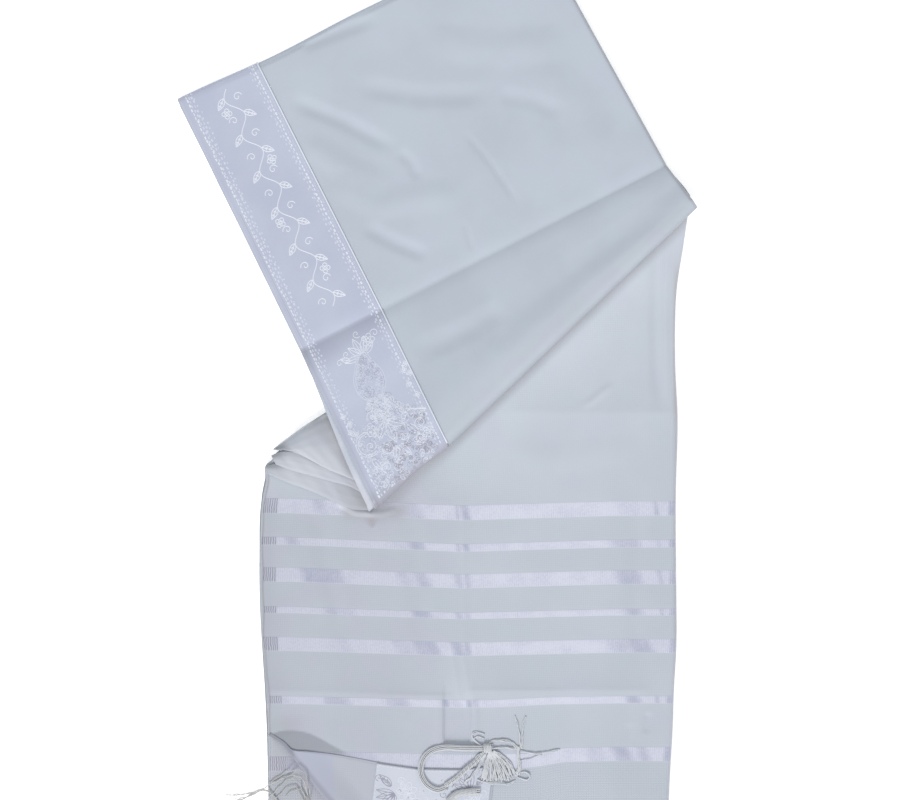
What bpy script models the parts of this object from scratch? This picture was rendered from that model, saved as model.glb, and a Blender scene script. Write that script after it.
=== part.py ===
"""A folded tallit: a shawl folded into a long strip, turned twice on a slant, with its neckband, corner patches and
knotted tassels. Sizes are in millimetres and the objects in metres. +X is across the strip, +Y along it, +Z up, and
the origin is on the flat underside, on the strip's centre line at the crease a quarter of the shawl from its end."""

import math
from collections import namedtuple

import bmesh
import bpy
from mathutils import Vector

MM = 0.001

# The cut cloth, and the strip that it is folded to.
SHAWL_WIDTH = 1300.0
SHAWL_LENGTH = 1760.0
STRIP_WIDTH = SHAWL_WIDTH / 4
CREASE_SPACING = SHAWL_LENGTH / 8
HALF_STRIP = STRIP_WIDTH / 2
HEM_Y = -2 * CREASE_SPACING

# Thicknesses and heights.
CLOTH = 1.2
THIN_CLOTH = 1.0
TRIM = 1.0
GAP = 0.4
STACK_TOP = 8.0
CREASE_ROOM = 0.8
STACK_CORE = STACK_TOP - CLOTH - GAP
SECOND_TOP = 5.0
PILE_TOP = 23.5
PILE_TOP_RIGHT = 13.5
ROLL_FOOT = STACK_TOP + 0.6

# Sewn trims.
BAND_WIDTH = 71.0
BAND_MARGIN = 1.6
PATCH_SIDE = 93.0
PATCH_MARGIN = 2.0

# A folded edge turns down this far out and this far down.
EDGE_TURN = ((0.0, 0.0), (1.5, -0.4), (2.6, -1.5), (3.0, -3.0), (3.0, -4.2))
EDGE_OUT = EDGE_TURN[-1][0]
FLOOR_ROOM = 1.4

# How far the next layer lies under the panel's outer face, and the stack's end inside the middle fold.
UNDER_PANEL = CLOTH + GAP + 0.1
FOLD_INSET = 5.4

# The heap of layers under the roll: its left side's distance inside the panel's, how far back it runs under the roll,
# and its bottom.
PILE_INSET_LEFT = 11.0
PILE_RETURN = 7.0
PILE_BOTTOM = 3.0

# The next layer of the strip's end, under the turned-up corner, reaches back to here.
SECOND_BACK_Y = -236.0

# The upper panel's corners in plan: the roll where the strip turns, the valley crease, and the shawl's middle fold.
ROLL_LEFT = Vector((-74.0, -76.5))
ROLL_RIGHT = Vector((178.4, 166.0))
VALLEY_LEFT = Vector((-133.5, 48.4))
VALLEY_RIGHT = Vector((157.0, 196.0))
TOP_LEFT = Vector((-231.6, 248.0))
TOP_RIGHT = Vector((52.0, 386.0))

# The turned-up corner: its fold runs from the strip's left edge down to the hem, and its tip lies at FLAP_TIP.
FLAP_START = Vector((-159.4, -256.0))
FLAP_END = Vector((2.0, HEM_Y))
FLAP_TIP = Vector((21.4, -280.0))
FLAP_REST = STACK_TOP + GAP + CLOTH
FLAP_ROLL = 2.8
FLAP_LIFT = 6.5


# ---------------------------------------------------------------- small helpers


def lerp(a, b, t):
    return a + (b - a) * t


def ease(low, high, x):
    """0 below low, 1 above high, and a smooth rise between."""
    t = min(1.0, max(0.0, (x - low) / (high - low)))
    return t * t * (3 - 2 * t)


def hump(x, centre, reach):
    """A smooth hump, 1 at its centre and 0 at its reach to either side."""
    return 1 - ease(0.0, reach, abs(x - centre))


def through(points, fraction):
    """A point on a smooth curve that passes through the points."""
    place = fraction * (len(points) - 1)
    i = min(int(place), len(points) - 2)
    t = place - i
    a, b = points[i], points[i + 1]
    before = points[i - 1] if i > 0 else b + (a - b) * 2
    after = points[i + 2] if i + 2 < len(points) else a + (b - a) * 2
    into, out = (b - before) / 2, (after - a) / 2
    return (
        a * (2 * t**3 - 3 * t**2 + 1)
        + into * (t**3 - 2 * t**2 + t)
        + b * (3 * t**2 - 2 * t**3)
        + out * (t**3 - t**2)
    )


def clear_scene():
    for obj in list(bpy.data.objects):
        bpy.data.objects.remove(obj, do_unlink=True)
    for mesh in list(bpy.data.meshes):
        bpy.data.meshes.remove(mesh)


def material(name, colour, roughness):
    made = bpy.data.materials.new(name)
    made.use_nodes = True
    shader = made.node_tree.nodes["Principled BSDF"]
    shader.inputs["Base Color"].default_value = (*colour, 1.0)
    shader.inputs["Roughness"].default_value = roughness
    shader.inputs["Metallic"].default_value = 0.0
    return made


def add_object(name, mesh, finish):
    obj = bpy.data.objects.new(name, mesh)
    obj.data.materials.append(finish)
    shawl.objects.link(obj)
    return obj


def mesh_from(bm, name):
    mesh = bpy.data.meshes.new(name)
    bm.to_mesh(mesh)
    bm.free()
    return mesh


def normals_of(rows):
    """The upward normal at each point of a grid of points."""
    found = []
    for i, row in enumerate(rows):
        line = []
        for j in range(len(row)):
            along = rows[min(i + 1, len(rows) - 1)][j] - rows[max(i - 1, 0)][j]
            across = row[min(j + 1, len(row) - 1)] - row[max(j - 1, 0)]
            line.append(across.cross(along).normalized())
        found.append(line)
    return found


def moved_out(rows, distance):
    """The grid's points moved along their normals, outwards where the distance is positive."""
    return [
        [point + normal * distance for point, normal in zip(row, normals)]
        for row, normals in zip(rows, normals_of(rows))
    ]


def sheet(name, rows, thickness, finish):
    """A wall of cloth whose outer face passes through the rows of points, each row from left to right."""
    columns, lines = len(rows[0]) - 1, len(rows) - 1
    bm = bmesh.new()
    bmesh.ops.create_grid(bm, x_segments=columns, y_segments=lines, size=1)
    for vertex in bm.verts:
        column = round((vertex.co.x + 1) / 2 * columns)
        line = round((vertex.co.y + 1) / 2 * lines)
        vertex.co = rows[line][column] * MM
    obj = add_object(name, mesh_from(bm, name), finish)
    shell = obj.modifiers.new("wall", "SOLIDIFY")
    shell.thickness = thickness * MM
    shell.offset = -1
    obj.data.shade_smooth()
    return obj


def closed_loft(bm, rings, caps):
    """Joins closed rings of points into one skin and closes its ends. Each cap is a list of faces, as ring indices."""
    lines = [[bm.verts.new(point * MM) for point in ring] for ring in rings]
    count = len(rings[0])
    for near, far in zip(lines, lines[1:]):
        for k in range(count):
            n = (k + 1) % count
            bm.faces.new((near[k], near[n], far[n], far[k]))
    for cap in caps:
        bm.faces.new([lines[0][k] for k in reversed(cap)])
        bm.faces.new([lines[-1][k] for k in cap])
    bmesh.ops.recalc_face_normals(bm, faces=bm.faces)


# ---------------------------------------------------------------- the lower strip

# Sections across the strip, from the hem up to where it goes under the roll: left edge, bend and right edge in plan.
Section = namedtuple("Section", "left_x left_y bend_x bend_y right_x right_y")
BEND = 0.27
LOWER_SECTIONS = (
    Section(-158.8, HEM_Y, -73.2, HEM_Y, 158.4, HEM_Y),
    Section(-159.0, -395.0, -73.3, -395.0, 158.4, -395.0),
    Section(-159.2, -350.0, -73.4, -350.0, 158.5, -350.0),
    Section(-159.4, -305.0, -73.5, -305.0, 158.8, -305.0),
    Section(-160.2, -256.0, -73.3, -257.5, 161.5, -256.0),
    Section(-161.8, -220.0, -74.0, -222.0, 162.8, -220.0),
    Section(-164.6, -181.0, -75.6, -184.0, 164.8, -181.0),
    Section(-166.3, -141.0, -77.0, -145.0, 164.4, -125.0),
    Section(-166.0, -108.0, -78.0, -114.0, 164.2, -66.0),
    Section(-165.8, -86.0, -78.0, -97.0, 165.6, -10.0),
    Section(-164.5, -68.0, -77.5, -89.0, 163.6, 42.0),
    Section(-162.5, -57.0, -77.0, -84.5, 164.5, 92.0),
    Section(-161.6, -51.5, -77.5, -80.0, 170.0, 130.0),
    Section(-161.6, -44.0, -82.5, -69.5, 175.6, 168.0),
)
ACROSS = (0, .025, .1, .19, BEND, .36, .43, .457, .474, .487, .5, .53, .64, .76, .87, .935, .96, 1)


def place_across(left, bend, right, t):
    if t < BEND:
        return lerp(left, bend, t / BEND)
    return lerp(bend, right, (t - BEND) / (1 - BEND))


def section_point(sections, fraction, t, inset_left=0.0, inset_right=0.0):
    """A plan point on the sheet of sections, at a fraction of the way along them and t of the way across."""
    left = through([Vector((s.left_x, s.left_y)) for s in sections], fraction)
    bend = through([Vector((s.bend_x, s.bend_y)) for s in sections], fraction)
    right = through([Vector((s.right_x, s.right_y)) for s in sections], fraction)
    left = left + (bend - left).normalized() * inset_left
    right = right + (bend - right).normalized() * inset_right
    return place_across(left, bend, right, t)


LOWER_LINES = 24
CENTRE_CREASE_X = -4.8
CHANNEL_X = -9.0


def lower_height(x, y):
    """The top of the strip's upper sheet, with its creases and the soft ridge by the folded edge."""
    crease = 0.8 * hump(x, CENTRE_CREASE_X, 7.0) * ease(-195, -170, y) * (1 - ease(-85, -65, y))
    channel = -0.8 * hump(x, CHANNEL_X, 13.0) * hump(y, -245, 42)
    pressed = 0.6 * hump(y, -CREASE_SPACING, 16)
    side_ridge = 0.9 * hump(x, 151.0, 9.0) * ease(-20, 20, y) * (1 - ease(110, 130, y))
    left_fall = -0.6 * (1 - ease(0.0, 7.0, x + 165.0))
    return STACK_TOP + crease + channel + pressed + side_ridge + left_fall


def flap_line(along):
    """A plan point on the turned-up corner's fold, at a fraction from its start to the hem."""
    return lerp(FLAP_START, FLAP_END, along)


def flap_inside():
    """The plan direction square to that fold, pointing under the strip."""
    run = (FLAP_END - FLAP_START).normalized()
    return Vector((-run.y, run.x))


def lower_left_limit(y):
    """How far left the upper sheet reaches at this y, below the start of the turned-up corner."""
    if y > FLAP_START.y:
        return -math.inf
    along = (FLAP_START.y - y) / (FLAP_START.y - FLAP_END.y)
    return flap_line(along).x + (FLAP_ROLL + GAP + 0.6) / flap_inside().x


def turned_edge(row, share=1.0):
    """Carries a row of points on over a folded edge at its right end. share is how much of the turn down it takes."""
    heading = row[-1] - row[-2]
    heading.z = 0
    heading.normalize()
    last = row[-1]
    turned = [last + heading * out + Vector((0, 0, down * share)) for out, down in EDGE_TURN[1:]]
    return row + turned


def lower_rows(columns, lines=LOWER_LINES):
    rows = []
    for i in range(lines + 1):
        row = []
        for t in columns:
            plan = section_point(LOWER_SECTIONS, i / lines, t, inset_right=EDGE_OUT)
            row.append(plan)
        limit = lower_left_limit(row[0].y)
        if row[0].x < limit:
            right = row[-1]
            row = [Vector((lerp(limit, right.x, t), lerp(row[0].y, right.y, t))) for t in columns]
        raised = [Vector((p.x, p.y, lower_height(p.x, p.y))) for p in row]
        rows.append(turned_edge(raised))
    return rows


# ---------------------------------------------------------------- the upper panel

BAND_SHARE = (BAND_MARGIN + BAND_WIDTH) / STRIP_WIDTH
BAND_COLUMNS = (BAND_MARGIN / STRIP_WIDTH, 0.06, 0.11, 0.165, BAND_SHARE)
PANEL_COLUMNS = (0, *BAND_COLUMNS, 0.31, 0.41, 0.51, 0.61, 0.71, 0.81, 0.9, 0.96, 1)
ROLL_ANGLES = (270, 240, 210, 180, 150, 120, 90)
ROLL_RETURN = 4.0
SLOPE_STEPS = (0.14, 0.26, 0.38, 0.5, 0.62, 0.74, 0.86, 0.95, 1.0)
PANEL_STEPS = (0.06, 0.2, 0.36, 0.52, 0.68, 0.82, 0.93)
TOP_ANGLES = (90, 60, 30, 0, -35, -70)
LEVEL_SHARE = 0.3
# The first of the panel's rows that the neckband covers, and how many rows there are up to the end of its roll and up
# to the valley crease.
BAND_START = 3
ROLL_ROWS = 1 + len(ROLL_ANGLES)
VALLEY_ROWS = ROLL_ROWS + len(SLOPE_STEPS)


def pile_top(t):
    """The height of the roll's crest, from the left edge to the right."""
    return lerp(PILE_TOP, PILE_TOP_RIGHT, t**0.85)


def panel_line(near_left, near_right, far_left, far_right, step, t, inset_right):
    left, right = lerp(near_left, far_left, step), lerp(near_right, far_right, step)
    right = right + (left - right).normalized() * inset_right
    return lerp(left, right, t)


def slope_height(step, t):
    """Level behind the roll, a soft steeper stretch halfway, then an even fall to the valley crease."""
    steep = ease(0.18, 0.66, step)
    even = max(0.0, (step - LEVEL_SHARE) / (1 - LEVEL_SHARE))
    return lerp(pile_top(t), STACK_TOP, (steep + even) / 2)


def panel_height(step, t):
    """The panel's flat stretch: slow swells a millimetre high."""
    swell = 0.9 * math.sin(2.6 * math.pi * step) * math.sin(math.pi * t)
    return STACK_TOP + swell


def top_edge_shift(t):
    """The middle fold isn't quite straight: it dips a little beside the neckband."""
    return -2.0 * hump(t, 0.27, 0.25)


def roll_point(t, angle, run_on=0.0, inset_right=EDGE_OUT):
    """A point round the roll at the slanting turn. An angle of 90 is its crest, and 270 its foot."""
    radius = (pile_top(t) - ROLL_FOOT) / 2
    start = panel_line(ROLL_LEFT, ROLL_RIGHT, VALLEY_LEFT, VALLEY_RIGHT, 0.0, t, inset_right)
    ahead = panel_line(ROLL_LEFT, ROLL_RIGHT, VALLEY_LEFT, VALLEY_RIGHT, 1.0, t, inset_right)
    heading = (ahead - start).normalized()
    turn = math.radians(angle)
    plan = start + heading * (radius + radius * math.cos(turn) + run_on)
    return Vector((plan.x, plan.y, ROLL_FOOT + radius + radius * math.sin(turn)))


def panel_rows(columns, turn_edge=True, return_run=ROLL_RETURN, inset_right=EDGE_OUT, last=None):
    """The upper panel's outer face: round the roll, down to the valley crease, and over the middle fold."""
    rows = [[roll_point(t, 270, return_run * lerp(1, 0.5, t), inset_right) for t in columns]]
    rows += [[roll_point(t, angle, 0.0, inset_right) for t in columns] for angle in ROLL_ANGLES]
    for step in SLOPE_STEPS:
        row = []
        for t in columns:
            plan = panel_line(ROLL_LEFT, ROLL_RIGHT, VALLEY_LEFT, VALLEY_RIGHT, step, t, inset_right)
            row.append(Vector((plan.x, plan.y, slope_height(step, t))))
        rows.append(row)
    for step in PANEL_STEPS:
        row = []
        for t in columns:
            plan = panel_line(VALLEY_LEFT, VALLEY_RIGHT, TOP_LEFT, TOP_RIGHT, step, t, inset_right)
            row.append(Vector((plan.x, plan.y, panel_height(step, t))))
        rows.append(row)
    radius = STACK_TOP / 2 - 0.2
    heading = (TOP_LEFT - VALLEY_LEFT).normalized()
    for angle in TOP_ANGLES:
        turn = math.radians(angle)
        row = []
        for t in columns:
            plan = panel_line(VALLEY_LEFT, VALLEY_RIGHT, TOP_LEFT, TOP_RIGHT, 1.0, t, inset_right)
            plan = plan + heading * (radius * (math.cos(turn) - 1) + top_edge_shift(t))
            row.append(Vector((plan.x, plan.y, STACK_TOP - radius + radius * math.sin(turn))))
        rows.append(row)
    rows = rows[:last]
    if not turn_edge:
        return rows
    crest = len(ROLL_ANGLES)
    turned = []
    for i, row in enumerate(rows):
        room = (row[-1].z - FLOOR_ROOM) / -EDGE_TURN[-1][1]
        share = min(1.0, max(0.0, room)) * ease(crest - 0.5, crest + 2, i)
        turned.append(turned_edge(row, share))
    return turned


# ---------------------------------------------------------------- the hidden layers

# Sections of the stack, from the hem to the middle fold. pile is how much higher its left part stands, where the
# layers fan out, and core the height of its top under the sheet that covers it.
Stack = namedtuple("Stack", "left_x left_y bend_x bend_y right_x right_y core pile")
BUNCH_SECTIONS = (
    Stack(-161.4, -43.0, -84.0, -66.5, 175.8, 169.0, STACK_CORE, 0.0),
    Stack(-160.0, -41.0, -85.0, -63.0, 176.2, 170.0, STACK_CORE, 1.6),
    Stack(-156.0, -38.0, -87.0, -55.0, 176.4, 171.5, STACK_CORE, 1.8),
    Stack(-152.0, -32.0, -90.0, -42.0, 176.0, 173.0, STACK_CORE, 4.2),
    Stack(-131.6, -16.0, -92.0, -11.0, 174.5, 175.0, STACK_CORE, 3.0),
    Stack(-110.5, -2.6, -60.0, 28.0, 172.5, 178.0, STACK_CORE, 0.0),
    Stack(-122.5, 24.0, -58.0, 58.0, 166.0, 186.0, STACK_CORE, 0.0),
)
SIDE_LEVELS = (0, 0.11, 0.36, 0.44, 0.53, 0.78, 0.86, 1)
LEFT_INSETS = (2.0, 0.6, 0.5, 1.7, 0.5, 0.5, 1.9, 1.6)
RIGHT_INSETS = (2.2, 0.8, 0.7, 1.9, 3.0, 3.0, 3.4, 4.4)
CORE_ACROSS = (.03, .12, .19, BEND, .36, .48, .6, .73, .86, .95)


def stack_ring(left, bend, right, top, pile, at_hem=False):
    """One closed section of the stack: up its layered left side, across its top, and down its right side."""
    ring = []
    outward = Vector((0, -1)) if at_hem else Vector((0, 0))
    into_left, into_right = (bend - left).normalized(), (bend - right).normalized()

    def side(corner, into, insets, height, level):
        plan = corner + into * insets[level] - outward * insets[level]
        return Vector((plan.x, plan.y, height * SIDE_LEVELS[level]))

    left_top = top(left + into_left * LEFT_INSETS[-1]) + pile
    right_top = top(right + into_right * RIGHT_INSETS[-1])
    for level in range(len(SIDE_LEVELS)):
        ring.append(side(left, into_left, LEFT_INSETS, left_top, level))
    for t in CORE_ACROSS:
        plan = place_across(left, bend, right, t) - outward * LEFT_INSETS[-1]
        fade = 1 - ease(0.22, 0.42, t)
        ring.append(Vector((plan.x, plan.y, top(plan) + pile * fade)))
    for level in reversed(range(len(SIDE_LEVELS))):
        ring.append(side(right, into_right, RIGHT_INSETS, right_top, level))
    return ring


def stack_caps():
    """Faces that close a section level by level, so that the layers show on its end too."""
    last = len(SIDE_LEVELS) * 2 + len(CORE_ACROSS) - 1
    levels = len(SIDE_LEVELS)
    caps = [(k, k + 1, last - k - 1, last - k) for k in range(levels - 2)]
    corner = levels - 2
    caps += [(corner, k, k + 1) for k in range(corner + 1, last - corner)]
    return caps


def hidden_layers(finish):
    rings = []

    def lower_core(plan):
        if plan.y < SECOND_BACK_Y:
            return SECOND_TOP - THIN_CLOTH - GAP
        return STACK_CORE - CREASE_ROOM

    lines = LOWER_LINES // 2
    for i in range(lines):
        corners = [section_point(LOWER_SECTIONS, i / lines, t) for t in (0, BEND, 1)]
        rings.append(stack_ring(*corners, lower_core, 0.0, at_hem=i == 0))
        if corners[0].y < SECOND_BACK_Y <= section_point(LOWER_SECTIONS, (i + 1) / lines, 0).y:
            edge = [Vector((p.x, SECOND_BACK_Y + GAP)) for p in corners]
            rings.append(stack_ring(*[Vector((p.x, SECOND_BACK_Y - 0.01)) for p in corners], lower_core, 0.0))
            rings.append(stack_ring(*edge, lower_core, 0.0))
    for s in BUNCH_SECTIONS:
        corners = [Vector((s.left_x, s.left_y)), Vector((s.bend_x, s.bend_y)), Vector((s.right_x, s.right_y))]
        rings.append(stack_ring(*corners, lambda plan, core=s.core: core, s.pile))

    for step in (0.0, *PANEL_STEPS):
        left = lerp(VALLEY_LEFT, TOP_LEFT, step)
        right = lerp(VALLEY_RIGHT, TOP_RIGHT, step)
        span = (right - left).length
        bend = lerp(left, right, BEND)

        def core(plan, step=step, left=left, span=span):
            return panel_height(step, (plan - left).length / span) - CLOTH - GAP

        rings.append(stack_ring(left, bend, right, core, 0.0))
    heading = (TOP_LEFT - VALLEY_LEFT).normalized()
    last = stack_ring(TOP_LEFT, lerp(TOP_LEFT, TOP_RIGHT, BEND), TOP_RIGHT, lambda plan: STACK_CORE, 0.0)
    for k, point in enumerate(last):
        across = (Vector((point.x, point.y)) - TOP_LEFT).length / (TOP_RIGHT - TOP_LEFT).length
        moved = heading * (top_edge_shift(across) - FOLD_INSET)
        last[k] = point + Vector((moved.x, moved.y, 0))
    rings.append(last)
    bm = bmesh.new()
    closed_loft(bm, rings, stack_caps())
    base = add_object("hidden_layers", mesh_from(bm, "hidden_layers"), finish)

    pile = add_object("pile", mesh_from(pile_body(), "pile"), finish)
    shawl.objects.unlink(pile)
    cutters.objects.link(pile)
    pile.hide_render = True
    pile.display_type = "WIRE"
    joined = base.modifiers.new("pile", "BOOLEAN")
    joined.operation = "UNION"
    joined.object = pile
    return base


def pile_body():
    """The layers heaped between the two slanting turns, under the panel and inside its roll."""
    share = PILE_INSET_LEFT / STRIP_WIDTH
    columns = [share, *[t for t in PANEL_COLUMNS if t > share + 0.02]]
    columns[-1] = 0.985
    outer = panel_rows(columns, turn_edge=False, return_run=PILE_RETURN, last=VALLEY_ROWS - 1)
    inner = moved_out(outer, -UNDER_PANEL)
    bm = bmesh.new()
    rings = []
    for j in range(len(columns)):
        ring = [row[j] for row in inner]
        for end in (ring[-1], ring[0]):
            ring.append(Vector((end.x, end.y, PILE_BOTTOM)))
        rings.append(ring)
    closed_loft(bm, rings, [tuple(range(len(rings[0])))])
    return bm


# ---------------------------------------------------------------- the layers that fan out at the left

# Each fanned layer, from where it goes under the next to its showing edge, left end to right end.
Rib = namedtuple("Rib", "back_x back_y edge_x edge_y")
LAYER_ONE = (
    Rib(-155.4, -29.3, -137.4, -31.0),
    Rib(-146.5, -22.6, -124.0, -38.9),
    Rib(-134.4, -13.6, -110.4, -46.0),
    Rib(-122.0, -5.5, -94.0, -52.6),
    Rib(-109.6, 3.6, -78.2, -62.0),
)
LAYER_TWO = (
    Rib(-156.6, -34.5, -153.0, -41.5),
    Rib(-147.0, -31.0, -142.0, -45.8),
    Rib(-132.0, -33.0, -127.5, -49.8),
    Rib(-116.0, -40.0, -112.5, -54.2),
    Rib(-98.0, -47.5, -93.5, -59.5),
    Rib(-86.0, -57.0, -82.8, -69.0),
)
LAYER_THREE = (
    Rib(-161.2, -42.5, -158.6, -49.5),
    Rib(-148.0, -40.5, -143.0, -56.2),
    Rib(-131.0, -44.5, -127.0, -62.0),
    Rib(-115.0, -49.5, -111.0, -69.2),
    Rib(-99.0, -55.5, -96.0, -76.4),
    Rib(-88.5, -62.0, -82.4, -79.6),
)
# Heights from the back to the showing edge.
HEIGHTS_ONE = (8.2, 11.5, 14.6, 16.4, 17.0, 16.2, 15.2, 14.4)
HEIGHTS_TWO = (12.2, 12.7, 12.8, 12.4, 11.8)
HEIGHTS_THREE = (10.0, 10.3, 10.4, 10.2, 9.9)
# How far along it each of these heights stands, and how far its back sinks under the panel.
REACH_ONE = (0.0, 0.02, 0.1, 0.24, 0.42, 0.62, 0.82, 1.0)
LAYER_ONE_SINK = 5.9


def fanned_rows(ribs, heights, reaches=None, sink=0.0, lines=9):
    """Rows from the showing edge to the back, each from left to right. The back sinks under the panel at its right."""
    reaches = reaches or [k / (len(heights) - 1) for k in range(len(heights))]
    backs = [Vector((r.back_x, r.back_y)) for r in ribs]
    edges = [Vector((r.edge_x, r.edge_y)) for r in ribs]
    rows = []
    for reach, height in zip(reversed(reaches), reversed(heights)):
        row = []
        for j in range(lines + 1):
            plan = lerp(through(backs, j / lines), through(edges, j / lines), reach)
            sunk = sink * ease(0.5, 1.0, j / lines) * (1 - reach)
            row.append(Vector((plan.x, plan.y, max(heights[0], height - sunk) if sink else height)))
        rows.append(row)
    return rows


def second_edge_rows():
    """The layer next under the panel, which shows beside the neckband below the valley crease."""
    inside = 7.0 / STRIP_WIDTH
    columns = (0.0, inside / 2, inside)
    outer = panel_rows(columns, turn_edge=False, last=VALLEY_ROWS)
    rows = []
    for i, row in enumerate(moved_out(outer, -UNDER_PANEL)):
        sideways = (row[0] - row[-1]).normalized()
        out = 4.2 * (1 - ease(ROLL_ROWS, VALLEY_ROWS - 1, i))
        rows.append([row[0] + sideways * out, *row])
    return rows[BAND_START:-2]


# ---------------------------------------------------------------- the turned-up corner

FLAP_EDGE = (
    Vector((-152.5, -262.5)),
    Vector((-144.3, -267.2)),
    Vector((-129.3, -268.8)),
    Vector((-106.3, -272.6)),
    Vector((-86.4, -274.6)),
    Vector((-67.4, -277.6)),
    Vector((-40.4, -281.8)),
    Vector((-7.1, -282.6)),
    FLAP_TIP,
)
FLAP_TURN = 0.5
PATCH_FOLD_DEPTH = 14.0
FLAP_ANGLES = (270, 225, 180, 135, 90)
FLAP_REACHES = (0.08, 0.2, 0.36, 0.54, 0.72, 0.88, 1.0)


def flap_depth(x, y):
    """How far a plan point lies inside the fold of the turned-up corner."""
    return (Vector((x, y)) - FLAP_START).dot(flap_inside())


def flap_height(x, y):
    """The turned-up corner's top: soft at its fold, lifted along its free edge near the strip's side, then level."""
    depth = flap_depth(x, y)
    crest = STACK_TOP - CLOTH + 2 * FLAP_ROLL
    settle = (crest - FLAP_REST) * (1 - ease(FLAP_ROLL, 26.0, depth))
    beside_edge = 1 - ease(0.0, 26.0, (-266.0 - 0.1 * (x + 144.0)) - y)
    lift = FLAP_LIFT * hump(x, -130.0, 42.0) * beside_edge
    return FLAP_REST + settle + lift


def flap_rows(lines=16):
    """Rows from under the fold, round it and out to the free edge, each from the strip's side to the hem."""
    columns = []
    for i in range(lines + 1):
        along = lerp(0.05, 0.965, i / lines)
        fold = flap_line(along)
        if along < FLAP_TURN:
            free = through(list(FLAP_EDGE), along / FLAP_TURN)
        else:
            free = lerp(FLAP_TIP, FLAP_END, (along - FLAP_TURN) / (1 - FLAP_TURN))
        column = []
        for angle in FLAP_ANGLES:
            turn = math.radians(angle)
            plan = fold + flap_inside() * FLAP_ROLL * (1 + math.cos(turn))
            height = STACK_TOP - CLOTH + FLAP_ROLL * (1 + math.sin(turn))
            column.append(Vector((plan.x, plan.y, height)))
        crest = fold + flap_inside() * FLAP_ROLL
        for reach in FLAP_REACHES:
            plan = lerp(crest, free, reach)
            column.append(Vector((plan.x, plan.y, flap_height(plan.x, plan.y))))
        columns.append(column)
    return [[column[k] for column in columns] for k in range(len(columns[0]))]


def clear_of_fold(plan):
    """Brings the part of the corner patch that the fold takes in back to just inside it."""
    depth = flap_depth(plan.x, plan.y)
    if depth > PATCH_FOLD_DEPTH:
        return plan
    return plan + flap_inside() * (PATCH_FOLD_DEPTH - depth) * 0.8


def patch_rows(steps=9):
    """The corner patch on the turned-up corner, from its points moved out."""
    to_start = (FLAP_EDGE[-3] - FLAP_TIP).normalized()
    to_hem = (FLAP_END - FLAP_TIP).normalized()
    rows = []
    for i in range(steps + 1):
        row = []
        for j in range(steps + 1):
            down = lerp(PATCH_MARGIN + PATCH_SIDE, PATCH_MARGIN, i / steps)
            back = lerp(PATCH_MARGIN + PATCH_SIDE, PATCH_MARGIN, j / steps)
            plan = clear_of_fold(FLAP_TIP + to_hem * down + to_start * back)
            row.append(Vector((plan.x, plan.y, flap_height(plan.x, plan.y) + 1.5 * GAP + TRIM)))
        rows.append(row)
    return rows


# ---------------------------------------------------------------- the layer under the turned-up corner

def flat_rows(left, right, near, far, height, columns, lines):
    return [
        [Vector((lerp(left, right, j / columns), lerp(near, far, i / lines), height)) for j in range(columns + 1)]
        for i in range(lines + 1)
    ]


# ---------------------------------------------------------------- tassels

STRAND = 0.6
WOUND_CORD = 1.7
# Strands leave the knot at an angle, run for a length and bend by an angle over it; lift is how high they arch.
Strand = namedtuple("Strand", "angle length bend lift")
NEAR_KNOT = Vector((15.1, -266.5))
NEAR_CORD = (
    Vector((-14.0, -303.0)),
    Vector((-27.0, -294.0)),
    Vector((-35.0, -283.0)),
    Vector((-36.5, -272.5)),
    Vector((-29.0, -265.0)),
    Vector((-16.0, -263.5)),
    Vector((0.0, -265.0)),
    Vector((12.0, -266.3)),
)
NEAR_STRANDS = (
    Strand(150, 34, 95, 3.0),
    Strand(128, 26, 120, 3.5),
    Strand(70, 30, -75, 3.0),
    Strand(38, 44, 62, 2.5),
    Strand(30, 50, 50, 2.0),
    Strand(12, 58, -14, 1.5),
    Strand(2, 40, -78, 2.5),
    Strand(-14, 42, -62, 2.0),
    Strand(-34, 36, -30, 1.5),
    Strand(-58, 34, -18, 1.5),
    Strand(-80, 31, -8, 1.2),
    Strand(-100, 32, 10, 1.2),
    Strand(-122, 34, 20, 1.4),
    Strand(-144, 38, 34, 1.6),
    Strand(-165, 46, 46, 1.8),
)
LEFT_KNOT = Vector((-130.5, -306.0))
LEFT_CORD = (
    Vector((-118.0, -400.0)),
    Vector((-121.0, -385.0)),
    Vector((-126.5, -368.0)),
    Vector((-129.0, -350.0)),
    Vector((-127.5, -332.0)),
    Vector((-129.5, -318.0)),
    Vector((-130.5, -308.0)),
)
LEFT_STRANDS = (
    Strand(112, 52, 104, 2.0),
    Strand(120, 66, 82, 2.0),
    Strand(128, 76, 70, 1.5),
    Strand(136, 68, 64, 1.5),
    Strand(144, 82, 48, 1.0),
    Strand(152, 74, 46, 1.0),
    Strand(162, 58, 30, 1.0),
    Strand(174, 36, 40, 1.5),
)
FLOOR_CLEARANCE = 0.7


def near_surface(plan):
    """What the tassel on the turned-up corner lies on: the strip's sheet, or the corner with its patch."""
    on_flap = ease(-6.0, 4.0, (-277.0 - 0.04 * (plan.x + 70)) - plan.y) * (1 - ease(20.0, 32.0, plan.x))
    return lerp(STACK_TOP + 0.3, FLAP_REST + GAP + TRIM, on_flap)


def left_surface(plan):
    """What the other tassel lies on: the layer under the corner and its patch, the fold, or the floor beside them."""
    on_fold = ease(-8.0, -4.0, flap_depth(plan.x, plan.y))
    on_layer = ease(-172.0, -161.5, plan.x)
    layer = lerp(FLOOR_CLEARANCE, SECOND_TOP + GAP + TRIM, on_layer)
    return lerp(layer, STACK_TOP - CLOTH + 2 * FLAP_ROLL, on_fold * ease(-158.0, -154.0, plan.x))


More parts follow.
